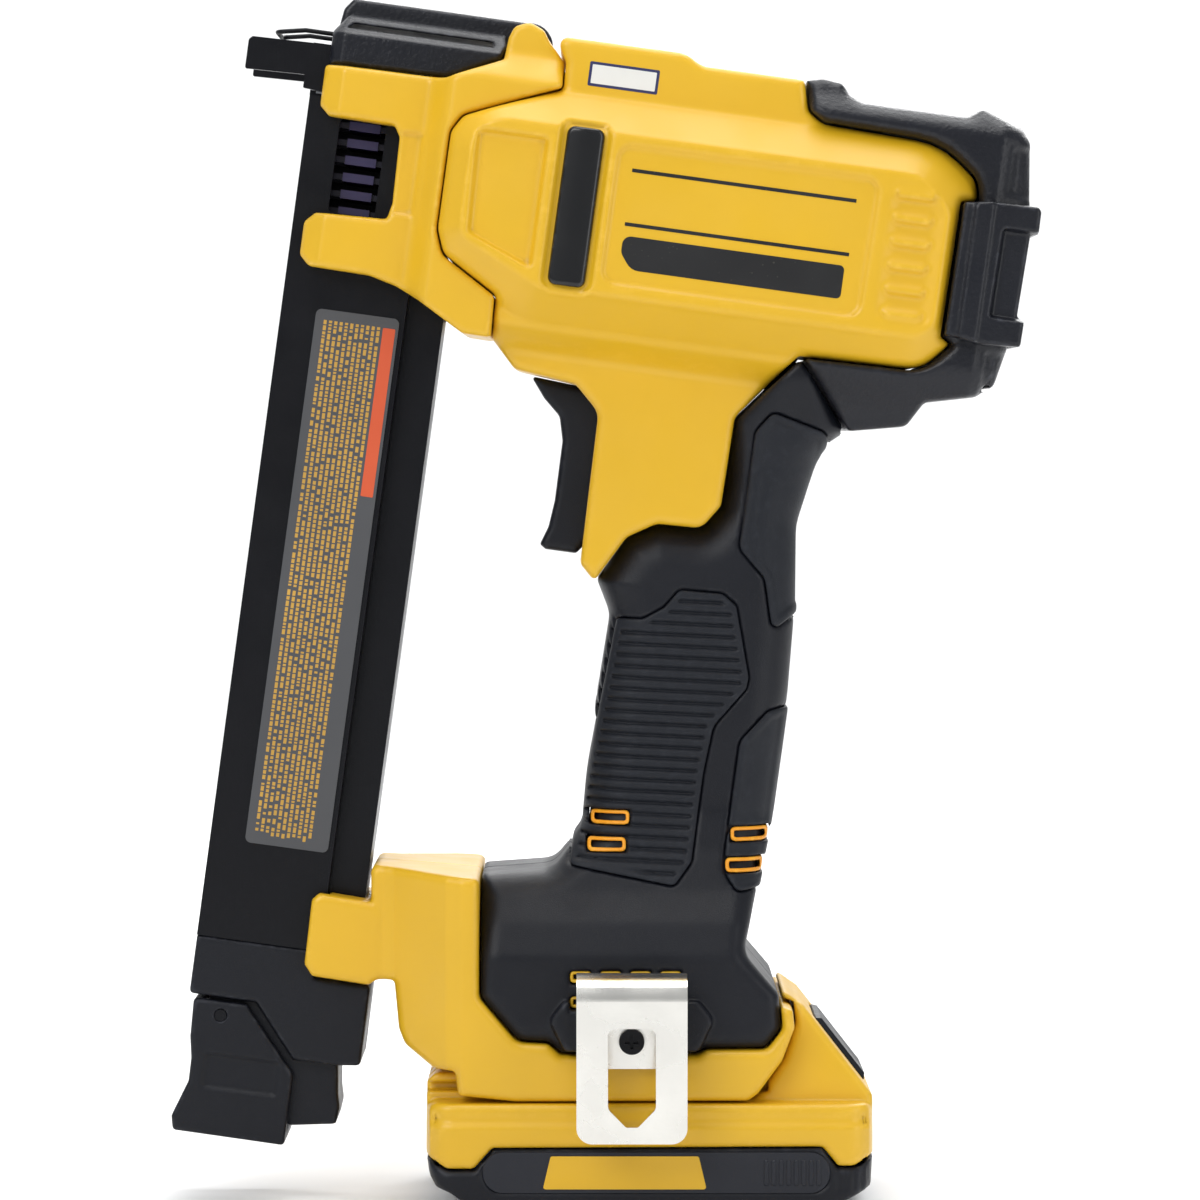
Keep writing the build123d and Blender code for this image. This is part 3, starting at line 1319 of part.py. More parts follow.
with BuildPart() as button_spring:
    with BuildSketch(slope.offset(-15.0)):
        Circle(2.8)
        Circle(1.8, mode=Mode.SUBTRACT)
    extrude(amount=10.0)
finish(button_spring, "button_spring")

# ---- electrics in the foot and handle ------------------------------------------------------------------
with BuildPart() as terminal_block:
    with BuildSketch(Plane.XY.offset(deck_top + 1.2)):
        with Locations((-10.0, 0)):
            Rectangle(30.0, 40.0)
    extrude(amount=9.0)
    for offset_y in terminal_offsets:
        with BuildSketch(Plane.XY.offset(deck_top - 3.8)):
            with Locations((-16.0, offset_y)):
                Rectangle(16.0, 0.8)
        extrude(amount=5.0)
finish(terminal_block, "terminal_block")

# ---- housing screws ---------------------------------------------------------------------------------------
with BuildPart() as housing_screws:
    add(screws(barrel, main_screws, main_screw_seats))
    add(screws(barrel, nose_screws, [nose_screw_seat]))
    add(screws(side, handle_screws, [handle_screw_seat] * 2))
    add(screws(side, foot_screws, [foot_screw_seat] * 2))
finish(housing_screws, "housing_screws")
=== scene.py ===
import bpy
import math
import numpy as np
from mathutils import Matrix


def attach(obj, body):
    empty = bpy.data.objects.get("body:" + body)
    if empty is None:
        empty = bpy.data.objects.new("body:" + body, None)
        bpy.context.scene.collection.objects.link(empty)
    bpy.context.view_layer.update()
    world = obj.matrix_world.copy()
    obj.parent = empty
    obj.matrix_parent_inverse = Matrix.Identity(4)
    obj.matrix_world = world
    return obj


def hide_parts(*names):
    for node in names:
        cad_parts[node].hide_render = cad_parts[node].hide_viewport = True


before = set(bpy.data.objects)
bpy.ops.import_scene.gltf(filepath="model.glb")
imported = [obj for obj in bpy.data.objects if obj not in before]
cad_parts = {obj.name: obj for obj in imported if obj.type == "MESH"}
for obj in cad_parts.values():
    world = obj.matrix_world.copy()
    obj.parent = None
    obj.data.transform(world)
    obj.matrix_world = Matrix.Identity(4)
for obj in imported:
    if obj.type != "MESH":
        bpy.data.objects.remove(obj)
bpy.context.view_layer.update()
rng = np.random.default_rng(7)

# Cordless cable stapler. Shapes are worked out in millimetres and written in metres.
# The barrel view has u back along the barrel and v squarely up from it; the side view is X and Z.
mm = 0.001
tilt = math.radians(7.8)
nose_x = -72.8
nose_z = 293.0
seam = 0.06                 # each half of a clamshell ends this far from the middle plane
draft = 1.0
shell_step = 0.75 * draft
piece_step = 0.55 * draft
fine_step = 0.42 * draft
shell_wall = 2.8
screw_boss_radius = 4.2
screw_head_radius = 3.6
magazine_slot = 15.4        # half the gap that the magazine slides in
rail_slot = 10.4            # half the gap around the fixed rail
far = 60.0                  # half a cut that runs out past both sides


def to_side(u, v):
    """Barrel view to side view: X and Z of a place."""
    return nose_x + u * math.cos(tilt) + v * math.sin(tilt), nose_z - u * math.sin(tilt) + v * math.cos(tilt)


# ---- outlines ------------------------------------------------------------------------
def bar(left, start, right, end, radius):
    """A rectangle as an outline with equal corners."""
    return [(left, start, radius), (right, start, radius), (right, end, radius), (left, end, radius)]


def rounded(corners):
    """The points of a closed outline through rows of (a, b, corner radius)."""
    rows = np.array(corners, dtype=float)
    points = []
    for number in range(len(rows)):
        before, corner, after = rows[number - 1, :2], rows[number, :2], rows[(number + 1) % len(rows), :2]
        radius = rows[number, 2]
        back, ahead = before - corner, after - corner
        back_length, ahead_length = np.linalg.norm(back), np.linalg.norm(ahead)
        back, ahead = back / back_length, ahead / ahead_length
        half = math.acos(float(np.clip(back @ ahead, -1, 1))) / 2
        if radius < 0.05 or half > math.pi / 2 - 0.02:
            points.append(corner)
            continue
        reach = min(radius / math.tan(half), 0.49 * back_length, 0.49 * ahead_length)
        radius = reach * math.tan(half)
        middle = corner + (back + ahead) / np.linalg.norm(back + ahead) * radius / math.sin(half)
        start, end = corner + back * reach - middle, corner + ahead * reach - middle
        first = math.atan2(start[1], start[0])
        turn = (math.atan2(end[1], end[0]) - first + math.pi) % (2 * math.pi) - math.pi
        steps = max(2, int(math.ceil(abs(turn) / math.radians(14))))
        for step in range(steps + 1):
            angle = first + turn * step / steps
            points.append(middle + radius * np.array([math.cos(angle), math.sin(angle)]))
    return np.array(points)


def outline_distance(corners, a, b):
    """Signed distance from the outline, negative inside."""
    points = rounded(corners)
    nearest = np.full(a.shape, 1e9, dtype=np.float32)
    inside = np.zeros(a.shape, dtype=bool)
    for number in range(len(points)):
        start, end = points[number - 1], points[number]
        run = end - start
        if run @ run < 1e-12:
            continue
        from_a, from_b = a - start[0], b - start[1]
        along = np.clip((from_a * run[0] + from_b * run[1]) / (run @ run), 0, 1)
        nearest = np.minimum(nearest, (from_a - along * run[0]) ** 2 + (from_b - along * run[1]) ** 2)
        if run[1] != 0:
            crosses = (start[1] > b) != (end[1] > b)
            inside ^= crosses & (a < start[0] + run[0] * (b - start[1]) / run[1])
    return (np.where(inside, -1, 1) * np.sqrt(nearest)).astype(np.float32)


def ramp(value, low, high):
    """0 below low, 1 above high, and a smooth step between them."""
    part = np.clip((value - low) / (high - low), 0, 1)
    return part * part * (3 - 2 * part)


def cut(one, other, radius):
    """What two shapes share, with the edge between them rounded."""
    one, other = one + radius, other + radius
    outer = np.hypot(np.maximum(one, 0), np.maximum(other, 0))
    return (np.minimum(np.maximum(one, other), 0) + outer - radius).astype(np.float32)


def join(one, other, radius):
    """Two shapes as one, with a filled corner between them."""
    return -cut(-one, -other, radius)


class Field:
    """Sample points in the barrel or side view, with Y across."""

    def __init__(self, view, low, high, step):
        self.view = view
        self.step = step
        self.axes = []
        for first, last in zip(low, high):
            self.axes.append(np.arange(first - 3 * step, last + 3.5 * step, step).astype(np.float32))
        a, b = np.meshgrid(self.axes[0], self.axes[1], indexing="ij")
        if view == "barrel":
            self.u, self.v = a, b
            self.x, self.z = to_side(a, b)
        else:
            self.x, self.z = a, b
            self.u = (a - nose_x) * math.cos(tilt) - (b - nose_z) * math.sin(tilt)
            self.v = (a - nose_x) * math.sin(tilt) + (b - nose_z) * math.cos(tilt)
        self.y = self.axes[2][None, None, :]

    def barrel(self, corners):
        """Distance from an outline in the barrel view."""
        return outline_distance(corners, self.u, self.v)

    def side(self, corners):
        """Distance from an outline in the side view."""
        return outline_distance(corners, self.x, self.z)

    def within(self, half_width):
        """Distance to the space between Y = -half_width and +half_width."""
        if np.isscalar(half_width):
            return np.abs(self.y) - half_width
        rise_a, rise_b = np.gradient(half_width, self.step)
        slope = np.sqrt(1 + rise_a ** 2 + rise_b ** 2)
        return (np.abs(self.y) - half_width[:, :, None]) / slope[:, :, None]

    def prism(self, face, half_width, radius):
        """The 2-D distance face carried across Y, with rounded edges."""
        return cut(face[:, :, None], self.within(half_width), radius)

    def block(self, a, b, half_width, radius=0.4, view=None):
        """A box through Y, from its (low, high) along each axis of the view."""
        first, second = (self.u, self.v) if (view or self.view) == "barrel" else (self.x, self.z)
        flat_a = np.abs(first - (a[0] + a[1]) / 2) - (a[1] - a[0]) / 2
        flat_b = np.abs(second - (b[0] + b[1]) / 2) - (b[1] - b[0]) / 2
        return cut(cut(flat_a, flat_b, radius)[:, :, None], self.within(half_width), radius)

    def rod(self, place, radius, view=None):
        """A round bar through Y."""
        first, second = (self.u, self.v) if (view or self.view) == "barrel" else (self.x, self.z)
        return (np.hypot(first - place[0], second - place[1]) - radius)[:, :, None]

    def place(self, points):
        """Local (a, b, y) rows to rows of X, Y, Z."""
        a, b, y = points[:, 0], points[:, 1], points[:, 2]
        if self.view == "side":
            return np.stack([a, y, b], axis=1)
        x, z = to_side(a, b)
        return np.stack([x, y, z], axis=1)

    def turn(self, arrows):
        """Local directions to X, Y, Z."""
        a, b, y = arrows[:, 0], arrows[:, 1], arrows[:, 2]
        if self.view == "side":
            return np.stack([a, y, b], axis=1)
        return np.stack([a * math.cos(tilt) + b * math.sin(tilt), y,
                         -a * math.sin(tilt) + b * math.cos(tilt)], axis=1)


# ---- from a field to a mesh ----------------------------------------------------------
corner_offsets = [(i, j, k) for i in (0, 1) for j in (0, 1) for k in (0, 1)]


def blend_corners(values, cells, part):
    """Values at points inside cells, mixed from each cell's eight corners."""
    total = 0
    for offset in corner_offsets:
        weight = 1
        for axis in range(3):
            weight = weight * (part[:, axis] if offset[axis] else 1 - part[:, axis])
        total = total + weight * values[tuple((cells + offset).T)]
    return total


def net(field, values):
    """Points, normals, edge amounts and quads of the surface where values change sign."""
    values = np.broadcast_to(values, tuple(len(axis) for axis in field.axes)).astype(np.float32)
    values = np.where(np.abs(values) < 1e-5, 1e-5, values)
    solid = values < 0
    corners = np.zeros(tuple(size - 1 for size in values.shape), dtype=np.int8)
    for i, j, k in corner_offsets:
        corners += solid[i:i + corners.shape[0], j:j + corners.shape[1], k:k + corners.shape[2]]
    active = (corners > 0) & (corners < 8)
    cells = np.argwhere(active)
    number = np.full(corners.shape, -1, dtype=np.int64)
    number[active] = np.arange(len(cells))
    total = np.zeros((len(cells), 3))
    crossings = np.zeros(len(cells))
    for axis in range(3):
        for offset in corner_offsets:
            if offset[axis]:
                continue
            ahead = list(offset)
            ahead[axis] = 1
            near = values[tuple((cells + offset).T)]
            away = values[tuple((cells + ahead).T)]
            crossing = (near < 0) != (away < 0)
            point = np.tile(np.array(offset, dtype=float), (len(cells), 1))
            point[:, axis] = near / np.where(crossing, near - away, 1)
            total += np.where(crossing[:, None], point, 0)
            crossings += crossing
    part = total / crossings[:, None]
    slopes = np.gradient(values, field.step)
    bend = np.zeros_like(values)
    for axis in range(3):
        bend += np.gradient(slopes[axis], field.step, axis=axis)
    for repeat in range(2):
        height = blend_corners(values, cells, part)
        slope = np.stack([blend_corners(one, cells, part) for one in slopes], axis=1)
        move = height[:, None] * slope / np.maximum((slope ** 2).sum(axis=1), 0.2)[:, None]
        part = np.clip(part - np.clip(move / field.step, -0.5, 0.5), 0.02, 0.98)
    slope = np.stack([blend_corners(one, cells, part) for one in slopes], axis=1)
    slope /= np.maximum(np.linalg.norm(slope, axis=1), 1e-6)[:, None]
    edge = blend_corners(bend, cells, part)
    origin = np.array([axis[0] for axis in field.axes])
    points = origin + (cells + part) * field.step
    quads = []
    for axis in range(3):
        second, third = (axis + 1) % 3, (axis + 2) % 3
        low = [slice(None)] * 3
        high = [slice(None)] * 3
        low[axis] = slice(0, -1)
        high[axis] = slice(1, None)
        near, away = solid[tuple(low)], solid[tuple(high)]
        edges = np.argwhere(near != away)
        keep = np.ones(len(edges), dtype=bool)
        for other in (second, third):
            keep &= (edges[:, other] > 0) & (edges[:, other] < values.shape[other] - 1)
        edges = edges[keep]
        back_second = np.zeros(3, dtype=int)
        back_second[second] = 1
        back_third = np.zeros(3, dtype=int)
        back_third[third] = 1
        ring = np.stack([
            number[tuple((edges - back_second - back_third).T)], number[tuple((edges - back_third).T)],
            number[tuple(edges.T)], number[tuple((edges - back_second).T)],
        ], axis=1)
        outward = near[tuple(edges.T)]
        ring[~outward] = ring[~outward][:, ::-1]
        quads.append(ring)
    return points, slope, edge, np.concatenate(quads)


def mesh_object(name, points, quads, normals=None, edge=None):
    """An object from rows of millimetre points and quads."""
    mesh = bpy.data.meshes.new(name)
    mesh.vertices.add(len(points))
    mesh.vertices.foreach_set("co", (points * mm).astype(np.float32).ravel())
    mesh.loops.add(quads.size)
    mesh.loops.foreach_set("vertex_index", quads.astype(np.int32).ravel())
    mesh.polygons.add(len(quads))
    mesh.polygons.foreach_set("loop_start", (np.arange(len(quads)) * quads.shape[1]).astype(np.int32))
    mesh.polygons.foreach_set("use_smooth", np.ones(len(quads), dtype=bool))
    mesh.update(calc_edges=True)
    if edge is not None:
        layer = mesh.attributes.new("edge", "FLOAT", "POINT")
        layer.data.foreach_set("value", np.clip(edge, -1.5, 1.5).astype(np.float32))
    if normals is not None:
        mesh.normals_split_custom_set_from_vertices(normals.astype(np.float32).tolist())
    obj = bpy.data.objects.new(name, mesh)
    bpy.context.scene.collection.objects.link(obj)
    return obj


def shape(name, field, values, sides="whole"):
    """Meshes a field. Sides: whole as it is, right or left from a field over positive Y, or both."""
    points, slope, edge, quads = net(field, values)
    points, slope = field.place(points), field.turn(slope)
    flipped = quads[:, ::-1]
    if sides in ("whole", "right"):
        return mesh_object(name, points, flipped, slope, edge)
    mirror = np.array([1, -1, 1])
    if sides == "left":
        return mesh_object(name, points * mirror, quads, slope * mirror, edge)
    return mesh_object(
        name, np.concatenate([points, points * mirror]),
        np.concatenate([flipped, quads + len(points)]),
        np.concatenate([slope, slope * mirror]), np.concatenate([edge, edge]),
    )


def plates(name, rows, view, bevel=0.12):
    """Thin plates on both sides: each row is (corners, inner Y, outer Y)."""
    points, faces = [], []
    for corners, low, high in rows:
        ring = rounded(corners)
        middle = ring.mean(axis=0)
        shrink = ring + (middle - ring) / np.linalg.norm(middle - ring, axis=1)[:, None] * bevel
        for across in (1, -1):
            start = len(points)
            for loop, level in ((ring, low), (ring, high - bevel), (shrink, high)):
                points += [(one[0], one[1], across * level) for one in loop]
            count = len(ring)
            for level in range(2):
                for number in range(count):
                    here = start + level * count + number
                    beside = start + level * count + (number + 1) % count
                    face = [here, beside, beside + count, here + count]
                    faces.append(face if across < 0 else face[::-1])
            for level in (0, 2):
                cap = [start + level * count + number for number in range(count)]
                faces.append(cap if (level == 2) == (across < 0) else cap[::-1])
    table = np.array(points)
    if view == "barrel":
        x, z = to_side(table[:, 0], table[:, 1])
    else:
        x, z = table[:, 0], table[:, 1]
    mesh = bpy.data.meshes.new(name)
    mesh.from_pydata([tuple(one) for one in np.stack([x, table[:, 2], z], axis=1) * mm], [], faces)
    mesh.update()
    obj = bpy.data.objects.new(name, mesh)
    bpy.context.scene.collection.objects.link(obj)
    return obj


# ---- materials -----------------------------------------------------------------------
def linear(red, green, blue):
    """sRGB 0 to 255 to a linear colour."""
    values = []
    for one in (red, green, blue):
        part = one / 255
        values.append(part / 12.92 if part <= 0.04045 else ((part + 0.055) / 1.055) ** 2.4)
    return (*values, 1.0)


# Convex edges take a lighter colour: edge wear and a painted edge highlight.
edge_wear_and_highlight = (0.35, 1.0)        # curvature where wear starts and is full
# Concave curvature where painted shade in the hollows starts and is full.
hollow_shade_range = (-0.25, -0.9)


def material(name, colour, rough, shade=0.86, worn_and_highlit=None, wear_and_highlight=0.5, grain=0.05, grain_mm=0.35,
             metallic=0.0, brushed=None, coat=0.0, shade_in_hollows=0.6, specks=None, leather=False, gloss=0.5):
    """Moulded or plated surface: mottled colour, fine grain, edges lighter from wear and painted highlight,
    and painted shade darkening the hollows.
    """
    made = bpy.data.materials.new(name)
    made.use_nodes = True
    tree = made.node_tree
    nodes, links = tree.nodes, tree.links
    shader = nodes["Principled BSDF"]
    shader.inputs["Metallic"].default_value = metallic
    shader.inputs["Coat Weight"].default_value = coat
    shader.inputs["Coat Roughness"].default_value = 0.25
    shader.inputs["Specular IOR Level"].default_value = gloss
    where = nodes.new("ShaderNodeTexCoord")

    def noise(size_mm, detail=3.0, source=None):
        node = nodes.new("ShaderNodeTexNoise")
        node.inputs["Scale"].default_value = 1000 / size_mm
        node.inputs["Detail"].default_value = detail
        links.new(source or where.outputs["Object"], node.inputs["Vector"])
        return node.outputs["Fac"]

    def remap(source, low, high, to_low=0.0, to_high=1.0):
        node = nodes.new("ShaderNodeMapRange")
        node.inputs["From Min"].default_value = low
        node.inputs["From Max"].default_value = high
        node.inputs["To Min"].default_value = to_low
        node.inputs["To Max"].default_value = to_high
        links.new(source, node.inputs["Value"])
        return node.outputs["Result"]

    def sum_of(one, other, kind="ADD"):
        node = nodes.new("ShaderNodeMath")
        node.operation = kind
        for socket, value in zip(node.inputs, (one, other)):
            if isinstance(value, float):
                socket.default_value = value
            else:
                links.new(value, socket)
        return node.outputs["Value"]

    def mix(amount, low, high):
        node = nodes.new("ShaderNodeMix")
        node.data_type = "RGBA"
        links.new(amount, node.inputs["Factor"])
        for socket, value in ((node.inputs[6], low), (node.inputs[7], high)):
            if isinstance(value, tuple):
                socket.default_value = value
            else:
                links.new(value, socket)
        return node.outputs[2]

    darker = tuple(part * shade for part in colour[:3]) + (1.0,)
    base = mix(remap(noise(38.0, 4.0), 0.35, 0.65), colour, darker)
    if specks is not None:
        base = mix(remap(noise(0.9, 1.0), 0.70, 0.78), base, specks)
    edge = nodes.new("ShaderNodeAttribute")
    edge.attribute_name = "edge"
    convex = remap(edge.outputs["Fac"], *edge_wear_and_highlight)
    hollow = remap(edge.outputs["Fac"], *hollow_shade_range)
    broken = remap(noise(2.4, 5.0), 0.50, 0.68)
    # Lighter colour on convex edges, broken up by noise: edge wear and a painted edge highlight.
    wear_and_highlight_mask = sum_of(sum_of(convex, broken, "MULTIPLY"), float(wear_and_highlight), "MULTIPLY")
    base = mix(wear_and_highlight_mask, base, worn_and_highlit or tuple(min(1.0, part * 1.5 + 0.03) for part in colour[:3]) + (1.0,))
    # A darker copy of the colour in the hollows, patchy from noise: painted shade.
    patchy = remap(noise(6.0, 4.0), 0.3, 0.7, 0.5, 1.0)
    hollow_shade_mask = sum_of(sum_of(hollow, patchy, "MULTIPLY"), float(shade_in_hollows), "MULTIPLY")
    base = mix(hollow_shade_mask, base, tuple(part * 0.45 for part in colour[:3]) + (1.0,))
    links.new(base, shader.inputs["Base Color"])

    smudge = remap(noise(14.0, 5.0), 0.35, 0.7, rough - 0.05, rough + 0.08)
    links.new(sum_of(smudge, sum_of(wear_and_highlight_mask, 0.15, "MULTIPLY"), "ADD"), shader.inputs["Roughness"])

    bump = nodes.new("ShaderNodeBump")
    bump.inputs["Distance"].default_value = 0.0002
    bump.inputs["Strength"].default_value = grain
    height = noise(grain_mm, 2.0)
    if leather:
        cells = nodes.new("ShaderNodeTexVoronoi")
        cells.inputs["Scale"].default_value = 1000 / (grain_mm * 3)
        links.new(where.outputs["Object"], cells.inputs["Vector"])
        height = sum_of(height, cells.outputs["Distance"], "ADD")
    if brushed is not None:
        stretch = nodes.new("ShaderNodeMapping")
        stretch.inputs["Scale"].default_value = brushed
        links.new(where.outputs["Object"], stretch.inputs["Vector"])
        height = sum_of(height, noise(0.5, 2.0, stretch.outputs["Vector"]), "ADD")
    links.new(height, bump.inputs["Height"])
    links.new(bump.outputs["Normal"], shader.inputs["Normal"])
    return made


# Each worn colour is the lighter edge colour, both edge wear and painted highlight; every material also paints
# shade into its hollows.
black_gloss = 0.26
yellow_plastic = material("moulded_yellow", linear(221, 174, 27), 0.40, shade=0.955,
                          worn_and_highlit=linear(255, 210, 92), wear_and_highlight=0.30, grain=0.10, coat=0.12, shade_in_hollows=0.35)
orange_plastic = material("moulded_orange", linear(244, 160, 24), 0.40, grain=0.1)
black_plastic = material("moulded_black", linear(20, 22, 29), 0.40, shade=0.85, worn_and_highlit=linear(70, 73, 82),
                         wear_and_highlight=0.3, grain=0.35, grain_mm=0.30, gloss=black_gloss)
cover_plastic = material("grained_black", linear(19, 21, 29), 0.34, shade=0.85, worn_and_highlit=linear(74, 77, 87),
                         wear_and_highlight=0.3, grain=0.5, grain_mm=0.42, coat=0.2, leather=True, gloss=black_gloss)
soft_rubber = material("overmoulded_rubber", linear(25, 28, 35), 0.50, shade=0.92, worn_and_highlit=linear(60, 64, 72),
                       wear_and_highlight=0.15, grain=0.4, grain_mm=0.25, gloss=black_gloss)
glossy_black = material("gloss_bar", linear(16, 17, 20), 0.16, shade=0.7, grain=0.02, coat=0.5,
                        gloss=black_gloss)
black_steel = material("coated_steel", linear(14, 15, 20), 0.34, shade=0.85, worn_and_highlit=linear(90, 92, 98),
                       wear_and_highlight=0.6, grain=0.15, grain_mm=0.6, metallic=0.25, brushed=(1.0, 1.0, 0.05),
                       gloss=black_gloss)
bare_steel = material("ground_steel", linear(168, 170, 174), 0.30, metallic=1.0, grain=0.10,
                      brushed=(0.06, 1.0, 1.0))
# The staples' wire is coloured near-black as painted shade inside the magazine window.
shaded_staple_wire = material("staple_wire_painted_shade", linear(34, 32, 44), 0.34, metallic=0.4, grain=0.05)
nickel = material("satin_nickel", linear(238, 236, 230), 0.26, shade=0.96, worn_and_highlit=linear(240, 240, 238),
                  metallic=1.0, grain=0.06, grain_mm=0.8, brushed=(1.0, 1.0, 0.08))
aluminium = material("cast_aluminium", linear(190, 191, 194), 0.38, metallic=1.0, grain=0.3, grain_mm=0.6)
brass = material("brass", linear(205, 165, 90), 0.25, metallic=1.0, grain=0.06)
copper = material("copper_winding", linear(176, 96, 58), 0.32, metallic=0.9, grain=0.6, grain_mm=0.5)
label_grey = material("printed_label", linear(72, 73, 76), 0.48, shade=0.9, grain=0.06)
label_ink = material("label_ink", linear(196, 152, 64), 0.55, shade=0.85, grain=0.05)
label_warning = material("label_warning", linear(206, 84, 44), 0.50, shade=0.9, grain=0.05)
badge_black = material("badge_black", linear(22, 22, 24), 0.40, grain=0.05, specks=linear(60, 58, 52))
badge_white = material("sticker_white", linear(226, 226, 222), 0.42, grain=0.04)
badge_navy = material("sticker_navy", linear(40, 44, 90), 0.42, grain=0.04)
# The light purple edge colour of the saddles is a painted highlight along their edges, with some wear.
saddle_plastic = material("saddle_plastic", linear(50, 42, 86), 0.45, shade=0.75, worn_and_highlit=linear(150, 140, 180),
                          grain=0.08)
cell_wrap = material("cell_sleeve", linear(44, 96, 150), 0.35, grain=0.04)
urethane = material("urethane", linear(180, 84, 34), 0.5, grain=0.1)
panel_grey = material("battery_panel", linear(40, 42, 49), 0.42, shade=0.85, worn_and_highlit=linear(110, 112, 118),
                       grain=0.2, gloss=black_gloss)


def dress(obj, surface, body, slot, *nodes):
    """Gives a piece its material and body, and the CAD nodes that it stands for. The slot is not used."""
    obj.data.materials.clear()
    obj.data.materials.append(surface)
    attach(obj, body)
    if nodes:
        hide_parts(*nodes)
    return obj


# ---- stage, lights and camera --------------------------------------------------------
bpy.context.scene.view_settings.view_transform = "Standard"
middle_z = 0.1552
distance = 1.25
frame_width = 0.312
camera_data = bpy.data.cameras.new("camera")
camera_data.lens = camera_data.sensor_width * distance / frame_width
camera_data.clip_end = 20.0
camera = bpy.data.objects.new("camera", camera_data)
bpy.context.scene.collection.objects.link(camera)
camera_rise = math.radians(2.0)
camera.location = (0.0, -distance * math.cos(camera_rise), middle_z + distance * math.sin(camera_rise))
camera.rotation_euler = (math.pi / 2 - camera_rise, 0.0, 0.0)
bpy.context.scene.camera = camera

# Floor and wall in one sweep, in metres.
sweep_radius = 0.9
sweep_start = 1.6
sweep_steps = 12
wall_top = 4.0
floor_half_width = 5.0
sweep = []
for step in range(sweep_steps + 1):
    angle = math.pi / 2 * step / sweep_steps
    sweep.append((sweep_start + sweep_radius * math.sin(angle), sweep_radius - sweep_radius * math.cos(angle)))
profile = [(-2.6, 0.0)] + sweep + [(sweep_start + sweep_radius, wall_top)]
floor_points = []
for y, z in profile:
    floor_points += [(-floor_half_width, y, z), (floor_half_width, y, z)]
floor_faces = [(2 * n, 2 * n + 1, 2 * n + 3, 2 * n + 2) for n in range(len(profile) - 1)]
floor_mesh = bpy.data.meshes.new("studio_floor")
floor_mesh.from_pydata(floor_points, [], floor_faces)
floor_mesh.polygons.foreach_set("use_smooth", [True] * len(floor_faces))
floor = bpy.data.objects.new("studio_floor", floor_mesh)
bpy.context.scene.collection.objects.link(floor)
paper = material("studio_paper", (0.90, 0.90, 0.90, 1.0), 0.8, shade=0.98, wear_and_highlight=0.0, shade_in_hollows=0.0,
                 grain=0.02, grain_mm=3.0)
floor_mesh.materials.append(paper)

world = bpy.data.worlds.new("studio")
bpy.context.scene.world = world
world.use_nodes = True
background = world.node_tree.nodes["Background"]
background.inputs["Color"].default_value = (0.96, 0.98, 1.0, 1.0)
background.inputs["Strength"].default_value = 0.46


def softbox(name, place, target, size, power):
    """A rectangular area light aimed at a target."""
    data = bpy.data.lights.new(name, "AREA")
    data.shape = "RECTANGLE"
    data.size, data.size_y = size
    data.energy = power
    light = bpy.data.objects.new(name, data)
    light.location = place
    reach = [target[n] - place[n] for n in range(3)]
    flat = math.hypot(reach[0], reach[1])
    light.rotation_euler = (math.atan2(flat, -reach[2]), 0.0, math.atan2(-reach[0], reach[1]))
    bpy.context.scene.collection.objects.link(light)


softbox("key_light", (-0.7, -1.1, 1.0), (0, 0, 0.18), (0.9, 0.7), 9.5)
softbox("fill_light", (1.1, -0.9, 0.45), (0, 0, 0.15), (0.5, 1.0), 3.6)
softbox("top_light", (0.1, -0.1, 1.4), (0, 0, 0.2), (1.2, 0.8), 10)
softbox("wall_light", (0.0, 0.9, 2.2), (0.0, 2.4, 0.5), (2.5, 0.6), 34)
softbox("rim_light", (0.3, 1.1, 0.9), (0, 0, 0.2), (0.9, 0.6), 8)

# ---- main housing --------------------------------------------------------------------
main_face = [
    (60.2, 14.6, 2), (93.4, 14.6, 6), (98.0, 12.0, 6), (124.2, 12.0, 1), (126.3, 4.2, 3),
    (130.4, 1.6, 4), (160.5, 0.6, 20), (171.0, -7.4, 11), (171.8, -12.4, 0.5), (167.4, -13.2, 0.5),
    (166.9, -47.9, 0.5), (169.8, -49.3, 0.5), (163.5, -56.8, 9), (132.3, -57.4, 1.5),
    (118.6, -75.0, 4), (118.2, -98.0, 3), (114.0, -104.3, 4), (102.5, -104.7, 4),
    (95.3, -109.2, 3), (88.6, -121.5, 1), (84.4, -117.5, 2), (83.8, -78.5, 5), (77.0, -72.1, 3),
    (61.2, -70.6, 3), (54.4, -63.6, 1), (54.0, -52.7, 2), (39.4, -44.0, 4), (37.2, -38.0, 4),
    (37.2, -13.0, 3), (39.8, -8.8, 3), (63.9, 1.3, 1.5), (63.7, 8.2, 1),
]
main_half_width = 37.0
bevel_drop = 9.0            # how far the bevel band falls back towards the middle
bevel_reach = 9.5
neck_half_width = 19.5
main_screws = [((118.0, 6.5), 27.0), ((124.5, -50.0), 32.0), ((161.5, -30.0), 33.0), ((59.5, -46.0), 33.0)]
# The flat of each side, inside the bevel band.
flat_face = [(43.0, -8.5, 9), (156.0, -8.5, 10), (164.5, -16.0, 6), (164.5, -46.0, 4), (160.0, -49.0, 5),
             (64.0, -49.0, 5), (43.0, -39.0, 5)]
panel_outline = [(79.5, -10.4, 4), (146.8, -10.4, 4), (146.0, -46.6, 4), (79.5, -46.6, 4)]
front_panel = [(43.6, -11.4, 1.5), (62.6, -11.4, 1.5), (62.6, -45.8, 1.5), (44.6, -38.6, 2)]
insert_border = bar(64.6, -6.4, 78.0, -49.8, 3)
louvre_recess = [(148.6, -10.0, 3), (160.6, -10.6, 5), (164.6, -17.0, 4), (164.6, -46.8, 3), (148.6, -46.8, 3)]
panel_depth = 1.0
front_depth = 1.8
insert_depth = 1.5
louvre_depth = 1.0
louvre_rise = 1.5
louvre_count = 6
louvre_pitch = 6.0
louvre_top = -13.2
louvre_start = 149.9
louvre_length = 11.4
louvre_half_height = 2.2
door_hinge = (53.5, 12.5)
hinge_half_width = 8.4


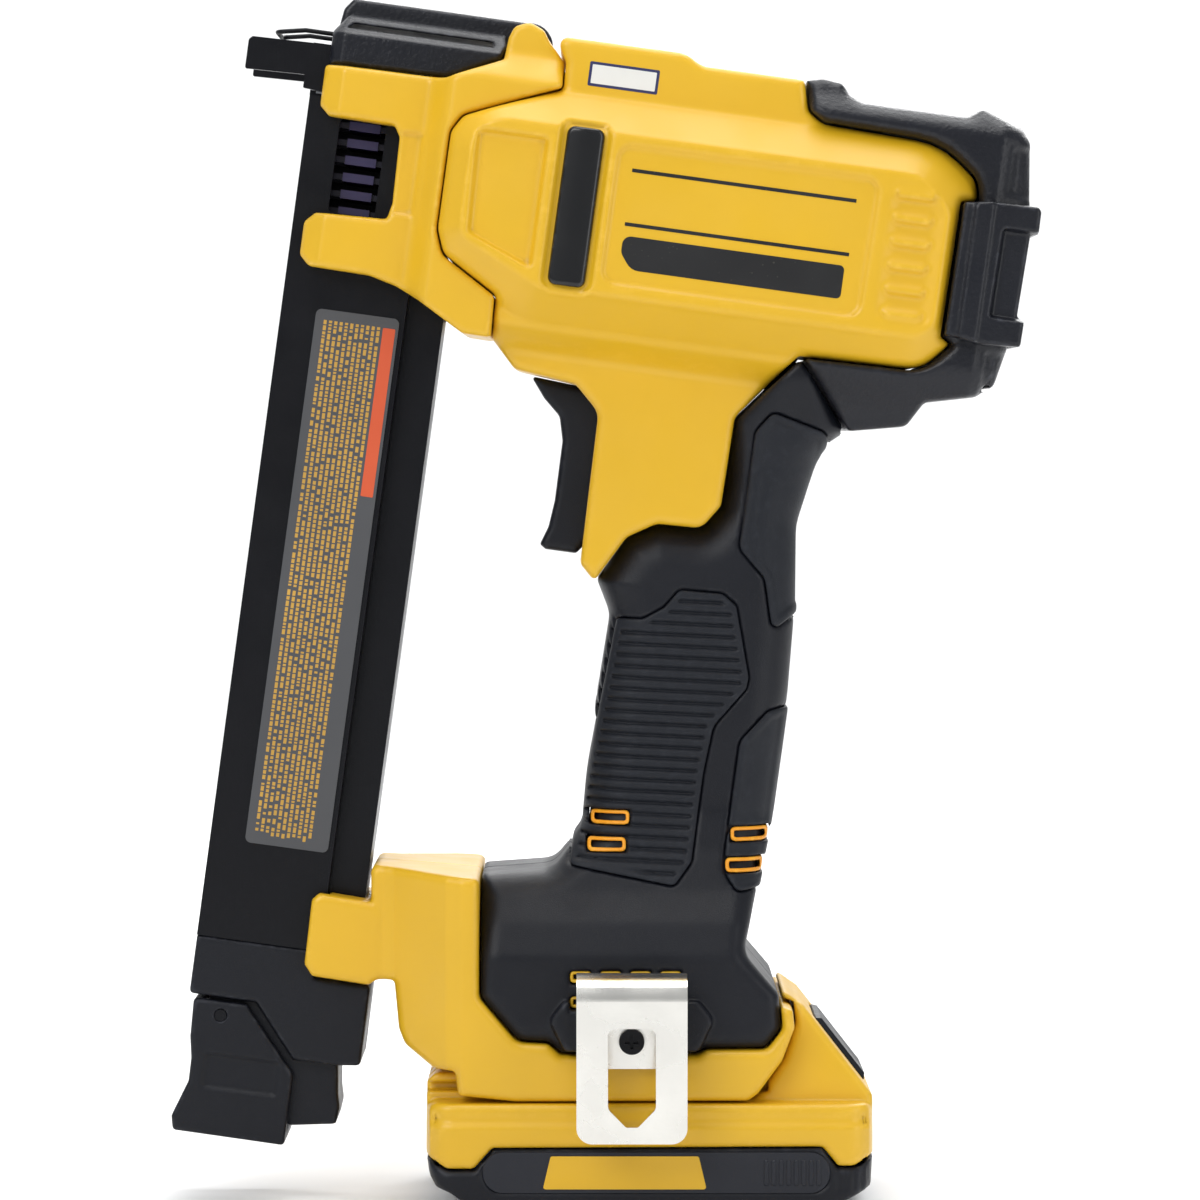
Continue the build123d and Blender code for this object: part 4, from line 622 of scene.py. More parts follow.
def main_width(f):
    """Half-width of the upper housing over the barrel view."""
    width = main_half_width - bevel_drop * np.clip(f.barrel(flat_face) / bevel_reach, 0, 1)
    width = width - (main_half_width - bevel_drop - neck_half_width) * ramp(-f.v, 58.0, 67.0)
    width = width - panel_depth * ramp(-f.barrel(panel_outline), 0.0, 1.2)
    width = width - front_depth * ramp(-f.barrel(front_panel), 0.0, 1.6)
    width = width - insert_depth * ramp(-f.barrel(insert_border), 0.0, 1.0)
    width = width - louvre_depth * ramp(-f.barrel(louvre_recess), 0.0, 4.0)
    for number in range(louvre_count):
        level = louvre_top - number * louvre_pitch
        start = louvre_start + 0.13 * number
        louvre = bar(start, level + louvre_half_height, start + louvre_length, level - louvre_half_height, 2)
        slant = ramp(level + 2.6 - f.v, 0.0, 4.2)
        width = width + louvre_rise * ramp(-f.barrel(louvre), 0.0, 1.2) * slant
    return width


def halves(name, node, f, values, surface, slot, screws, view="barrel"):
    """The left half, then the right half with counterbores over the screws' heads."""
    dress(shape(name + "_left", f, values, "left"), surface, "frame", slot, node + "_left")
    for place, seat in screws:
        values = cut(values, -np.maximum(f.rod(place, screw_head_radius, view), seat - f.y), 0.4)
    dress(shape(name + "_right", f, values, "right"), surface, "frame", slot, node + "_right")


f = Field("barrel", (37, -122, 0), (172, 17, 37.5), shell_step)
width = main_width(f)
face = f.barrel(main_face)
values = f.prism(face, width, 2.0)
hollow = f.prism(face + shell_wall, width - shell_wall, 2.0)
for place, seat in main_screws:
    hollow = np.maximum(hollow, -f.rod(place, screw_boss_radius))
values = cut(values, -hollow, 0.2)
nose_way = f.block((26, 70), (-8, 8), 15.0)
trigger_slot = f.block((72.4, 94.4), (-118.2, -70.6), 8.4)
hinge_way = np.maximum(f.rod(door_hinge, 6.8), f.within(hinge_half_width))
for opening in (nose_way, trigger_slot, hinge_way):
    values = cut(values, -opening, 0.4)
values = cut(values, seam - f.y, 0.45)
halves("main_shell", "main_housing", f, values, yellow_plastic, "yellow_shell", main_screws)

# Side inserts, bars with a crowned face.
f = Field("barrel", (66.3, -48.4, 34.6), (76.3, -7.8, 38.4), fine_step)
face = f.barrel(bar(66.5, -8.0, 76.1, -48.2, 2))
crown = 37.6 - 0.9 * np.clip((f.u - 71.3) / 5.0, -1, 1) ** 2
values = cut(f.prism(face, crown.astype(np.float32), 0.9), 35.0 - f.y, 0.2)
dress(shape("insert_bars", f, values, "both"), glossy_black, "frame", "black_shell", "side_inserts")

# Painted lines and band on each side, without lettering.
painted = main_half_width - panel_depth
line_left, line_right, line_height = 84.0, 141.0, 0.9
band = [(line_left, -33.6, 2.2), (140.3, -33.6, 1.2), (140.3, -42.0, 1.2), (87.0, -42.0, 4.0),
        (line_left, -38.0, 2.5)]
graphics = [(band, painted - 0.1, painted + 0.1)]
for level in (-16.6, -30.2):
    line = bar(line_left, level, line_right, level - line_height, 0.1)
    graphics.append((line, painted - 0.1, painted + 0.08))
dress(plates("side_graphics", graphics, "barrel", 0.05), badge_black, "frame", "black_shell")
sticker_level = main_half_width - bevel_drop
sticker = [(bar(69.8, 9.3, 87.6, 3.1, 0.4), sticker_level - 0.1, sticker_level + 0.08)]
dress(plates("sticker_frame", sticker, "barrel", 0.05), badge_navy, "frame", "label_grey")
sticker_field = [(bar(70.5, 8.6, 86.9, 3.8, 0.2), sticker_level, sticker_level + 0.14)]
dress(plates("sticker_field", sticker_field, "barrel", 0.04), badge_white, "frame", "label_grey")

# ---- nose housing --------------------------------------------------------------------
nose_face = [
    (2.8, 0.0, 1), (34.1, 0.3, 4), (47.9, 7.0, 0.5), (48.3, 12.6, 1), (49.4, 15.8, 2.5), (53.2, 17.4, 3),
    (57.0, 15.8, 2.5), (58.6, 13.4, 1), (63.3, 8.2, 1), (63.6, 1.6, 1), (39.5, -8.5, 3), (36.9, -13.0, 3),
    (36.9, -38.2, 4), (39.1, -44.3, 4), (53.7, -52.9, 2), (54.1, -63.5, 1), (47.0, -63.4, 3),
    (34.0, -56.2, 4), (28.2, -53.6, 4), (21.0, -51.8, 4), (5.4, -51.5, 2), (2.7, -48.9, 1.5),
    (2.7, -40.4, 1.5), (5.4, -37.8, 1), (23.7, -37.1, 1), (24.6, -33.0, 2), (24.2, -16.0, 2),
    (22.5, -13.2, 1), (5.4, -12.9, 1), (2.8, -10.5, 1),
]
f = Field("barrel", (2, -67, 0), (64, 17, 32), piece_step)
face = f.barrel(nose_face)
width = 23.5 + 6.5 * ramp(f.u, 29.5, 37.0) - 0.7 * np.clip(8.0 - f.u, 0, 6)
width = width - 6.0 * ramp(f.v, 1.0, 10.0)
beside_window = ramp(-np.abs(f.v + 25.0), -11.0, -9.6)
width = width - 0.9 * beside_window * ramp(f.u, 24.0, 26.0) * ramp(-f.u, -31.0, -29.0)
values = f.prism(face, width.astype(np.float32), 1.5)
values = cut(values, -f.block((-0.8, 31.9), (-90, -7), magazine_slot), 0.4)
values = cut(values, -f.block((30.9, 42.0), (-90, -46), rail_slot), 0.3)
values = cut(values, -f.block((-1, 51), (-7.6, 19.6), magazine_slot), 0.4)
values = cut(values, -f.block((30, 70), (-7.6, 7.6), 12.8), 0.3)
values = cut(values, -np.maximum(f.rod(door_hinge, 6.4), f.within(hinge_half_width)), 0.3)
values = np.maximum(values, -np.maximum(f.rod(door_hinge, 1.5), f.within(13.0)))
values = cut(values, seam - f.y, 0.4)
nose_screws = [((47.0, -58.0), 19.5)]
halves("nose_shell", "nose_housing", f, values, yellow_plastic, "yellow_shell", nose_screws)

# ---- jam door ------------------------------------------------------------------------
door_face = [(3.4, 0.4, 0.5), (3.4, 9.0, 2), (7.0, 14.1, 2), (47.3, 14.1, 0.5), (48.0, 10.8, 0.5),
             (47.0, 7.2, 0.5), (34.0, 0.8, 3)]
door_inner = [(6.0, -8.0, 0), (6.0, 9.0, 1), (8.5, 11.5, 1), (44.7, 11.5, 1), (44.7, -8.0, 0)]
ridge_face = [(4.0, 9.0, 0.5), (4.9, 15.6, 2), (7.1, 18.5, 1), (53.5, 18.4, 0.5), (59.4, 14.0, 2),
              (58.0, 9.0, 2), (53.5, 7.0, 2), (44.0, 9.0, 0.5)]
door_half_width = 20.0
ridge_half_width = 8.0
f = Field("barrel", (3, -3.2, -door_half_width), (60, 19, door_half_width), fine_step * 1.15)
width = door_half_width - 0.85 * np.clip(6.6 - f.u, 0, 4) - 7.5 * np.clip((f.v - 8.4) / 5.8, 0, 1)
values = f.prism(f.barrel(door_face), width.astype(np.float32), 1.3)
groove = np.maximum(np.abs(np.abs(f.y) - 9.0) - 0.7, 12.6 - f.v[:, :, None])
values = cut(values, -groove, 0.3)
ridge = cut(f.barrel(ridge_face)[:, :, None], f.within(ridge_half_width), 1.4)
ridge = np.minimum(ridge, cut(f.rod(door_hinge, 6.0), f.within(ridge_half_width), 0.8))
values = np.minimum(values, ridge)
values = np.maximum(values, -np.maximum(f.barrel(door_inner)[:, :, None], f.within(17.4)))
values = cut(values, -f.block((0, 8), (-8.0, 5.9), magazine_slot), 0.3)
values = np.maximum(values, -f.rod(door_hinge, 1.55))
dress(shape("jam_door_cover", f, values), cover_plastic, "jam_door", "black_shell", "jam_door")

# ---- rear cover and clip -------------------------------------------------------------
cover_face = [
    (124.6, 12.1, 0.3), (129.0, 13.2, 2), (133.9, 12.6, 1), (136.2, 10.0, 1), (139.5, 8.5, 1),
    (166.5, 8.5, 3), (170.2, 11.0, 1.5), (180.6, 7.6, 3), (183.2, 4.0, 3), (185.3, -12.0, 4),
    (184.5, -49.0, 5), (182.5, -58.5, 3), (178.0, -61.8, 3), (165.6, -64.9, 2),
    (162.0, -71.5, 3), (147.8, -74.6, 0.3), (133.9, -57.9, 0.3), (163.7, -57.2, 8.8),
    (170.2, -49.4, 0.3), (167.3, -47.6, 0.3), (167.8, -13.7, 0.3), (172.2, -12.9, 0.3),
    (171.3, -7.1, 10.8), (160.6, 1.0, 19.8), (130.6, 2.0, 3.6), (126.7, 4.4, 2.8),
]
cover_half_width = 32.0
f = Field("barrel", (124, -76, -33), (186, 14, 33), piece_step * 1.2)
width = cover_half_width - 5.0 * ramp(f.v, 3.0, 12.0) - 9.0 * ramp(-f.v, 54.0, 74.0)
width = width - 0.5 * np.clip(f.u - 176.0, 0, 8)
from_clip = np.abs(f.v + 30.0)
width = width - 1.2 * ramp(from_clip, 19.0, 21.0) * ramp(-from_clip, -33, -31) * ramp(f.u, 178, 180)
face = f.barrel(cover_face)
edge_radius = (1.3 + 1.5 * ramp(f.v, -62.0, -52.0))[:, :, None]
values = cut(face[:, :, None], f.within(width.astype(np.float32)), edge_radius)
values = cut(values, -f.block((169.75, 181.25), (-60, 0), 27.0), 0.4)
dress(shape("rear_bumper", f, values), cover_plastic, "frame", "black_shell", "rear_cover")

clip_face = [
    (168.0, -13.6, 0.3), (174.5, -12.6, 1), (186.6, -12.4, 0.5), (187.5, -13.4, 0.4),
    (187.6, -19.2, 0.4), (185.7, -19.7, 0.3), (185.2, -40.3, 0.3), (187.0, -41.4, 0.4),
    (186.9, -47.9, 0.5), (177.4, -48.6, 1), (167.6, -47.4, 0.3),
]
clip_half_width = 38.4
f = Field("barrel", (167, -49, -38.6), (188, -12, 38.6), fine_step * 1.25)
pocket = [(178.2, -18.6, 1), (192.0, -18.6, 1), (192.0, -41.8, 1), (177.8, -41.8, 1)]
width = clip_half_width - 2.0 * ramp(-f.barrel(pocket), 0.0, 1.0)
width = width - 0.7 * ramp(f.u, 175.2, 176.0) - 0.8 * ramp(-f.u, -171.2, -170.4)
values = f.prism(f.barrel(clip_face), width.astype(np.float32), 1.1)
values = cut(values, -f.block((140.0, 185.6), (-60, 0), 33.3), 0.4)
dress(shape("rear_clip_band", f, values), cover_plastic, "frame", "black_shell", "rear_clip")

# ---- handle, foot and pads -----------------------------------------------------------
handle_face = [
    (*to_side(89.3, -121.2), 0.5), (2.6, 152.0, 8), (-1.2, 128.5, 20), (-4.0, 97.0, 6),
    (-12.0, 87.0, 6), (-30.4, 85.6, 1), (-30.3, 55.6, 3), (-20.8, 44.4, 5), (-13.0, 44.0, 2),
    (-9.8, 41.2, 1), (24.4, 41.2, 1), (26.8, 42.5, 1), (42.0, 42.6, 3), (46.0, 47.5, 3),
    (45.4, 56.2, 2), (36.6, 66.6, 5), (40.4, 82.7, 20), (44.3, 101.2, 40), (48.5, 131.6, 40),
    (50.0, 150.0, 40), (50.2, 175.0, 15), (56.4, 194.4, 8), (*to_side(147.4, -74.7), 0.5),
    (*to_side(133.0, -58.0), 1.2), (*to_side(119.0, -75.4), 4),
    (*to_side(118.5, -98.2), 3), (*to_side(114.2, -104.7), 4), (*to_side(102.4, -105.1), 4),
    (*to_side(95.6, -109.5), 3),
]
boss_face = [(-13.0, 50.0, 3), (-9.0, 55.0, 2), (25.0, 55.0, 2), (29.0, 50.0, 3), (25.0, 42.0, 2),
             (-9.0, 42.0, 2)]
hook_nut = (8.0, 45.1)
grip_vents = [(2.6, 100.1), (1.7, 93.3), (38.4, 95.9), (37.0, 88.2)]
vent_half_length, vent_half_height = 5.2, 2.0
foot_vent_middle, foot_vent_pitch, foot_vent_count = 6.5, 7.6, 4
foot_vent_levels = (60.6, 54.2)
handle_screws = [((13.0, 125.0), 14.5), ((41.0, 148.0), 14.5)]
foot_screws = [((-24.0, 74.0), 31.5), ((34.0, 58.0), 31.5)]
front_pad = [
    (95.6, -130.1, 1), (102.2, -129.4, 3), (107.3, -125.7, 3), (110.6, -120.7, 2),
    (121.6, -120.2, 2), (125.5, -122.7, 2), (131.2, -140.5, 2), (130.9, -143.6, 1),
    (123.9, -154.1, 6), (123.0, -166.0, 10), (123.0, -189.0, 3), (119.4, -195.6, 2), (92.0, -194.0, 1),
]
rear_pad = [
    (143.0, -146.5, 1), (137.4, -148.5, 2), (131.2, -157.0, 5), (131.2, -190.0, 3),
    (135.4, -194.8, 2), (143.0, -192.5, 1),
]
upper_pad = [
    (143.0, -76.0, 3), (128.0, -72.5, 2), (124.2, -78.0, 4), (124.2, -108.0, 4), (131.8, -114.8, 4),
    (135.6, -128.0, 1.5), (144.0, -120.0, 1.5), (144.0, -98.0, 8),
]
# Half-widths up the handle, from the square foot through the slim grip to the housing.
heights = [38, 66, 74, 82, 92, 102, 190, 200, 212, 230]
half_widths = [35.6, 35.6, 32.0, 26.0, 21.0, 18.6, 18.6, 20.5, 26.0, 26.0]
corner_heights = [58, 80, 100, 185, 204, 214]
corner_radii = [3.5, 6.0, 11.5, 11.0, 5.0, 1.4]


def handle_field(f):
    """The outside of the handle and foot, oval in the grip and square at the foot."""
    width = np.interp(f.z, heights, half_widths).astype(np.float32)
    for repeat in range(6):
        padded = np.pad(width, 1, mode="edge")
        width = (padded[:-2, 1:-1] + padded[2:, 1:-1] + padded[1:-1, :-2] + padded[1:-1, 2:] + 4 * width) / 8
    corner = np.interp(f.z, corner_heights, corner_radii).astype(np.float32)
    return cut(f.side(handle_face)[:, :, None], f.within(width), corner[:, :, None]), width, corner


def vent_slot(f, place, extra):
    """Distance from one of the grip's slots."""
    beyond_length = np.abs(f.x - place[0]) - vent_half_length - extra
    beyond_height = np.abs(f.z - place[1]) - vent_half_height - extra
    return np.maximum(beyond_length, beyond_height)[:, :, None]


f = Field("side", (-31, 41, 0), (60, 231, 38.4), shell_step)
values, width, corner = handle_field(f)
inner = cut(f.side(handle_face)[:, :, None] + shell_wall, f.within(width) + shell_wall, corner[:, :, None])
for place, seat in handle_screws + foot_screws:
    inner = np.maximum(inner, -f.rod(place, screw_boss_radius))
values = np.minimum(values, cut(f.prism(f.side(boss_face), 38.2, 1.2), 32.0 - f.y, 0.1))
outer = values
inner = np.maximum(inner, -np.maximum(f.rod(hook_nut, 6.5), 28.2 - f.y))
inner = np.minimum(inner, f.block((-25.5, 5.5), (38.5, 47.5), 20.5))
values = cut(values, -inner, 0.2)
for pad in (front_pad, rear_pad, upper_pad):
    recess = f.barrel(pad)[:, :, None] - 0.2
    values = cut(values, -cut(recess, -(outer + 0.9), 0.2), 0.25)
for place in grip_vents:
    values = cut(values, -cut(vent_slot(f, place, 0.0), -(outer + 1.2), 0.2), 0.2)
foot_vents = []
for level in foot_vent_levels:
    for number in range(foot_vent_count):
        foot_vents.append((foot_vent_middle + (number - 1.5) * foot_vent_pitch, level))
for x, z in foot_vents:
    slot = f.block((x - 2.8, x + 2.8), (z - 1.7, z + 1.7), far)
    values = cut(values, -cut(slot, 27.0 - f.y, 0.2), 0.4)
values = np.maximum(values, -np.maximum(f.rod(hook_nut, 4.0), 30.2 - f.y))
values = cut(values, seam - f.y, 0.4)
halves("grip_half", "grip_shell", f, values, black_plastic, "black_shell", handle_screws + foot_screws, "side")

groove_pitch = 2.9
groove_depth = 1.0
pad_rise = 0.75             # how far the pads stand out of the handle


def pad_piece(name, pad, low, high, node, ribs):
    """A soft pad laid on the handle, ribbed or with a sunk middle."""
    f = Field("barrel", low, high, fine_step if ribs else piece_step * 0.95)
    outer = handle_field(f)[0]
    face = f.barrel(pad)
    lift = np.full(face.shape, pad_rise, dtype=np.float32)
    if ribs:
        wave = np.maximum(0, np.cos(2 * math.pi * (f.z + 0.05 * f.x) / groove_pitch)) ** 2
        lift = lift - groove_depth * wave * ramp(-face, 1.2, 2.0)
    else:
        lift = lift - 0.35 * ramp(-face, 1.6, 2.4)
    values = cut(outer - lift[:, :, None], face[:, :, None], 0.5)
    values = np.maximum(values, -(outer + 0.75))
    for place in grip_vents:
        values = cut(values, -vent_slot(f, place, 0.1), 0.3)
    dress(shape(name, f, values), soft_rubber, "frame", "soft_grip", node)


# Bright liners in the grip's slots, following its curve.
f = Field("side", (-5, 84, -27), (45, 104, 27), fine_step)
outer = handle_field(f)[0]
ring = np.full(f.x.shape, far, dtype=np.float32)
for x, z in grip_vents:
    slot = bar(x - 5.0, z - 1.85, x + 5.0, z + 1.85, 1.2)
    ring = np.minimum(ring, np.abs(f.side(slot) + 0.5) - 0.48)
values = cut(np.maximum(outer - 0.25, -(outer + 1.0)), ring[:, :, None], 0.25)
dress(shape("vent_liners", f, values), orange_plastic, "frame", "vent_orange", "grip_vent_liners")

pad_piece("pad_front", front_pad, (91, -196, -27), (132, -119, 27), "grip_pad_front", True)
pad_piece("pad_rear", rear_pad, (130, -196, -27), (143, -145, 27), "grip_pad_rear", False)
pad_piece("pad_upper", upper_pad, (123, -129, -27), (145, -71, 27), "grip_pad_upper", False)

# Bright grilles behind the foot's slots, and the dark filter behind them.
f = Field("side", (-13, 50, 31.0), (26, 66, 35.6), fine_step)
ring = np.full(f.x.shape, far, dtype=np.float32)
for x, z in foot_vents:
    slot = bar(x - 2.75, z - 1.35, x + 2.75, z + 1.75, 0.9)
    ring = np.minimum(ring, np.abs(f.side(slot) + 0.45) - 0.42)
values = cut(np.maximum(ring[:, :, None], f.y - 35.2), 32.4 - f.y, 0.2)
dress(shape("foot_grilles", f, values, "both"), yellow_plastic, "frame", "yellow_shell", "foot_vent_grilles")
filter_rows = [(bar(-11.0, 50.6, 24.0, 64.8, 1), 30.6, 31.6)]
dress(plates("vent_filters", filter_rows, "side", 0.2), black_plastic, "frame", "black_shell")

# ---- trigger -------------------------------------------------------------------------
f = Field("barrel", (65, -116, -8), (88, -72, 8), fine_step)
face = f.barrel([
    (65.3, -71.5, 0.5), (69.5, -76.8, 1.5), (74.0, -80.8, 3), (75.6, -87.0, 3), (75.7, -102.5, 5),
    (75.0, -109.5, 3), (73.4, -114.2, 0.5), (75.0, -115.3, 0.3), (83.0, -115.3, 1), (87.0, -110.0, 1),
    (87.0, -73.0, 0.5),
])
trigger_half_width = 8.0
values = f.prism(face, trigger_half_width, 1.9)
spring_bore = np.hypot((f.v + 90.0)[:, :, None], f.y) - 3.4
values = np.maximum(values, -np.maximum(spring_bore, 80.0 - f.u[:, :, None]))
dress(shape("trigger_lever", f, values), black_plastic, "trigger", "black_shell", "trigger")

# ---- magazine end, latch -------------------------------------------------------------
magazine_half_width = 15.0
latch_hinge = (8.4, -245.5)
f = Field("barrel", (-1, -273, -15), (46.5, -225, 15), piece_step)
values = f.prism(f.barrel([
    (-0.4, -225.6, 0), (31.0, -225.6, 0), (31.0, -232.8, 0), (45.6, -232.8, 1), (45.8, -253.6, 1),
    (39.8, -254.4, 0.5), (28.5, -254.4, 0.5), (17.0, -240.9, 1), (-0.4, -240.9, 1),
]), magazine_half_width, 0.9)
tail = f.prism(f.barrel([
    (4.6, -239.0, 0), (36.0, -239.0, 0), (40.0, -254.6, 0.5), (41.0, -262.1, 1), (41.9, -265.6, 1),
    (41.5, -270.0, 1), (29.5, -272.0, 1), (24.0, -268.0, 2), (12.4, -250.0, 2), (4.6, -250.0, 1.5),
]), 11.4, 1.2)
values = join(values, tail, 0.3)
values = np.maximum(values, -f.rod(latch_hinge, 1.5))
dress(shape("magazine_end", f, values), black_plastic, "magazine", "black_shell", "magazine_base")

f = Field("barrel", (-1, -277, -15), (29.5, -241, 15), fine_step * 1.1)
face = f.barrel([
    (0.9, -241.9, 1), (14.6, -241.9, 0.5), (29.0, -258.2, 0.5), (29.1, -276.8, 1), (0.0, -276.6, 1),
    (-0.8, -273.0, 1), (2.4, -263.5, 2), (2.3, -257.5, 2), (1.3, -252.0, 2),
])
thumb_rest = ramp(-np.abs(f.v + 260.0), -5.0, -3.6) * ramp(f.u, 5.0, 7.0) * ramp(-f.u, -26.0, -24.0)
width = magazine_half_width - 0.8 * thumb_rest
values = f.prism(face, width.astype(np.float32), 1.1)
inner = f.barrel([
    (3.6, -228.0, 0), (3.6, -252.0, 1), (4.8, -258.0, 1), (4.8, -264.0, 1), (3.2, -274.0, 1),
    (60.0, -274.0, 0), (60.0, -228.0, 0),
])
values = cut(values, -f.prism(inner, 11.8, 0.5), 0.4)
values = np.maximum(values, -f.rod(latch_hinge, 1.55))
finger_groove_count = 5
for number in range(finger_groove_count):
    groove = f.rod((-1.9, -266.0 - 2.0 * number), 1.1)
    values = cut(values, -groove, 0.2)
dress(shape("latch_lever", f, values), black_plastic, "magazine_latch", "black_shell", "magazine_latch")

# ---- foot bracket --------------------------------------------------------------------
bracket_face = [
    (-58.8, 88.0, 2), (-31.6, 85.9, 0.5), (-30.7, 84.9, 0.3), (-30.7, 55.4, 3), (-21.0, 44.0, 4),
    (-13.1, 43.6, 2), (-10.0, 40.8, 1), (24.6, 40.8, 1), (27.0, 42.1, 1), (42.3, 42.2, 3),
    (46.4, 47.4, 3), (45.9, 53.4, 0.5), (48.9, 52.4, 1), (49.4, 47.8, 1), (46.2, 39.3, 4),
    (40.1, 31.0, 2), (37.6, 29.2, 1), (-21.5, 29.0, 3), (-36.0, 30.5, 1), (-36.8, 36.6, 1),
    (-42.4, 36.9, 2), (-50.0, 42.2, 3), (-51.6, 46.0, 3), (-52.8, 58.3, 1), (-58.6, 58.3, 1),
]
clamp_face = [
    (27.9, -212.3, 1), (29.6, -210.4, 1), (44.4, -210.9, 1.5), (46.4, -213.8, 1.5),
    (47.2, -230.2, 1), (45.4, -232.1, 1), (30.6, -231.8, 1), (28.2, -229.0, 1),
]
f = Field("side", (-77, 28.5, 0), (50, 90, 36.5), piece_step * 1.15)
clamp_half_width = 20.0
clamp_bolt_depth = 17.0     # the bolt stops this far left of the middle
width = np.interp(f.x, [-56, -53, -39, -35], [clamp_half_width, 21.5, 34.2, 36.0]).astype(np.float32)
values = f.prism(f.side(bracket_face), width, 2.0)
values = join(values, f.prism(f.barrel(clamp_face), clamp_half_width, 1.6), 0.6)
values = cut(values, -f.block((32.0, 41.0), (-245, -200), rail_slot + 0.1, view="barrel"), 0.2)
values = cut(values, -f.block((0.0, 31.9), (-245, -200), magazine_slot + 0.55, view="barrel"), 0.4)
clamp_bolt = f.rod((36.6, -221.0), 2.5, "barrel")
values = np.maximum(values, -np.maximum(clamp_bolt, f.within(clamp_bolt_depth)))
deck_rib = np.maximum(f.block((-32, 34), (31.0, 32.4), far, 0.1), 22.9 - f.y)
values = cut(values, -cut(f.block((-300, 300), (-10, 35.4), 26.4, 0.2), -deck_rib, 0.1), 0.3)
values = cut(values, -f.block((-27, 23), (33, 47), 24.0), 0.3)
values = cut(values, -f.block((-54, -34), (50, 82), 17.0, 1.5), 0.3)
values = cut(values, seam - f.y, 0.4)
dress(shape("bracket_left", f, values, "left"), yellow_plastic, "frame", "yellow_shell", "foot_bracket_left")
values = np.maximum(values, -clamp_bolt)
dress(shape("bracket_right", f, values, "right"), yellow_plastic, "frame", "yellow_shell",
      "foot_bracket_right")

# ---- battery -------------------------------------------------------------------------
front_x, rear_x = -44.3, 69.5
deck_top, base_height = 35.2, 17.4
battery_half_width = 38.0
battery_corner = 7.0
body_face = [
    (front_x, 15.1, 0.3), (front_x, 28.6, 3), (rear_x, 28.6, 3), (rear_x, 15.5, 0.3), (64.3, 13.0, 0.5),
    (60.3, 13.0, 0.5), (56.3, base_height + 0.5, 1), (-27.3, base_height + 0.1, 1), (-32.0, 12.2, 1),
    (-38.8, 12.2, 1),
]
base_face = [
    (front_x, 14.9, 0.3), (-43.6, 10.5, 1), (-41.6, 7.4, 1), (-38.0, 6.0, 2), (-32.0, 1.6, 2),
    (-27.0, 0.0, 2), (55.6, 0.0, 3), (62.0, 4.0, 2), (69.0, 7.4, 1), (rear_x, 15.2, 0.3),
    (64.4, 12.7, 0.5), (60.1, 12.7, 0.5), (56.1, base_height + 0.3, 1), (-27.1, base_height - 0.1, 1),
    (-31.8, 11.9, 1), (-38.9, 11.9, 1),
]
hump_face = [
    (38.6, 24.0, 0), (38.6, 28.6, 1), (41.2, 30.6, 2), (47.0, 39.0, 3), (50.1, 47.9, 1),
    (49.6, 53.1, 0.5), (46.6, 54.1, 0.3), (46.6, 56.2, 0.5), (52.0, 52.4, 2), (rear_x, 30.0, 2),
    (rear_x, 24.0, 0),
]
slope_place = (61.7, 40.0)
slope_out = (0.788, 0.616)


def plan_width(f):
    """Half-width of the battery with its upright corners rounded."""
    near_end = np.minimum(f.x - front_x, rear_x - f.x)
    depth = np.clip(battery_corner - near_end, 0, battery_corner)
    rounding = np.sqrt(np.maximum(battery_corner ** 2 - depth ** 2, 0))
    return (battery_half_width - battery_corner + rounding).astype(np.float32)


f = Field("side", (front_x, 12, -38), (rear_x, 56.5, 38), piece_step * 1.35)
width = plan_width(f) - 0.9 * ramp(f.z, 23.0, 24.2)
values = f.prism(f.side(body_face), width, 1.6)
deck = f.prism(f.side([(front_x, 20.0, 0), (front_x, 33.0, 1.5), (-42.0, deck_top, 1.5), (44.6, deck_top, 0.5),
                       (44.6, 20.0, 0)]), 26.0, 0.8)
hump = f.prism(f.side(hump_face), 30.0 - 0.25 * np.clip(f.z - 30.0, 0, 30), 1.8)
values = np.minimum(np.minimum(values, deck), hump)
inner = f.block((-41.9, 67.1), (-10, 26.2), 35.4, 1.0)
inner = np.minimum(inner, f.block((-41, 41), (20, 32.8), 20.4, 0.6))
values = np.maximum(values, -inner)
rail_groove = np.maximum(f.block((-47, 43), (30.6, 32.8), far, 0.2), 22.8 - np.abs(f.y))
values = cut(values, -rail_groove, 0.2)
for offset_y in (-16.0, -6.0, 6.0, 16.0):
    slot = np.maximum(f.block((-47, -3), (31.0, 50.0), far, 0.2), np.abs(f.y - offset_y) - 1.0)
    values = np.maximum(values, -slot)
out = (f.x - slope_place[0]) * slope_out[0] + (f.z - slope_place[1]) * slope_out[1]
along = -(f.x - slope_place[0]) * slope_out[1] + (f.z - slope_place[1]) * slope_out[0]
recess = np.maximum(np.abs(along) - 10.4, -10.5 - out)[:, :, None]
values = cut(values, -np.maximum(recess, f.within(15.4)), 0.4)
dress(shape("battery_shell", f, values), yellow_plastic, "battery", "yellow_shell", "battery_case")

f = Field("side", (front_x, 0, -38), (rear_x, 18, 38), piece_step * 1.2)
width = plan_width(f)
corner_ribs = 5
battery_rib_pitch = 1.9
for number in range(corner_ribs):
    place = 60.6 + battery_rib_pitch * number
    rib = ramp(-np.abs(f.x - place), -0.7, -0.2) * ramp(f.z, 6.0, 7.0) * ramp(-f.z, -14.0, -13.0)
    width = width - 0.5 * rib
panel_face = bar(-30.0, 6.0, 58.6, 16.8, 5)
width = width - 0.8 * ramp(-f.side(panel_face), -0.2, 0.4)
values = f.prism(f.side(base_face), width.astype(np.float32), 1.8)
tray = f.side([
    (-41.8, 12.0, 0), (-38.0, 8.8, 2), (-31.0, 4.2, 2), (-26.0, 2.6, 2), (55.0, 2.6, 2),
    (61.4, 6.4, 2), (67.0, 9.6, 1), (67.0, 40.0, 0), (-41.8, 40.0, 0),
])
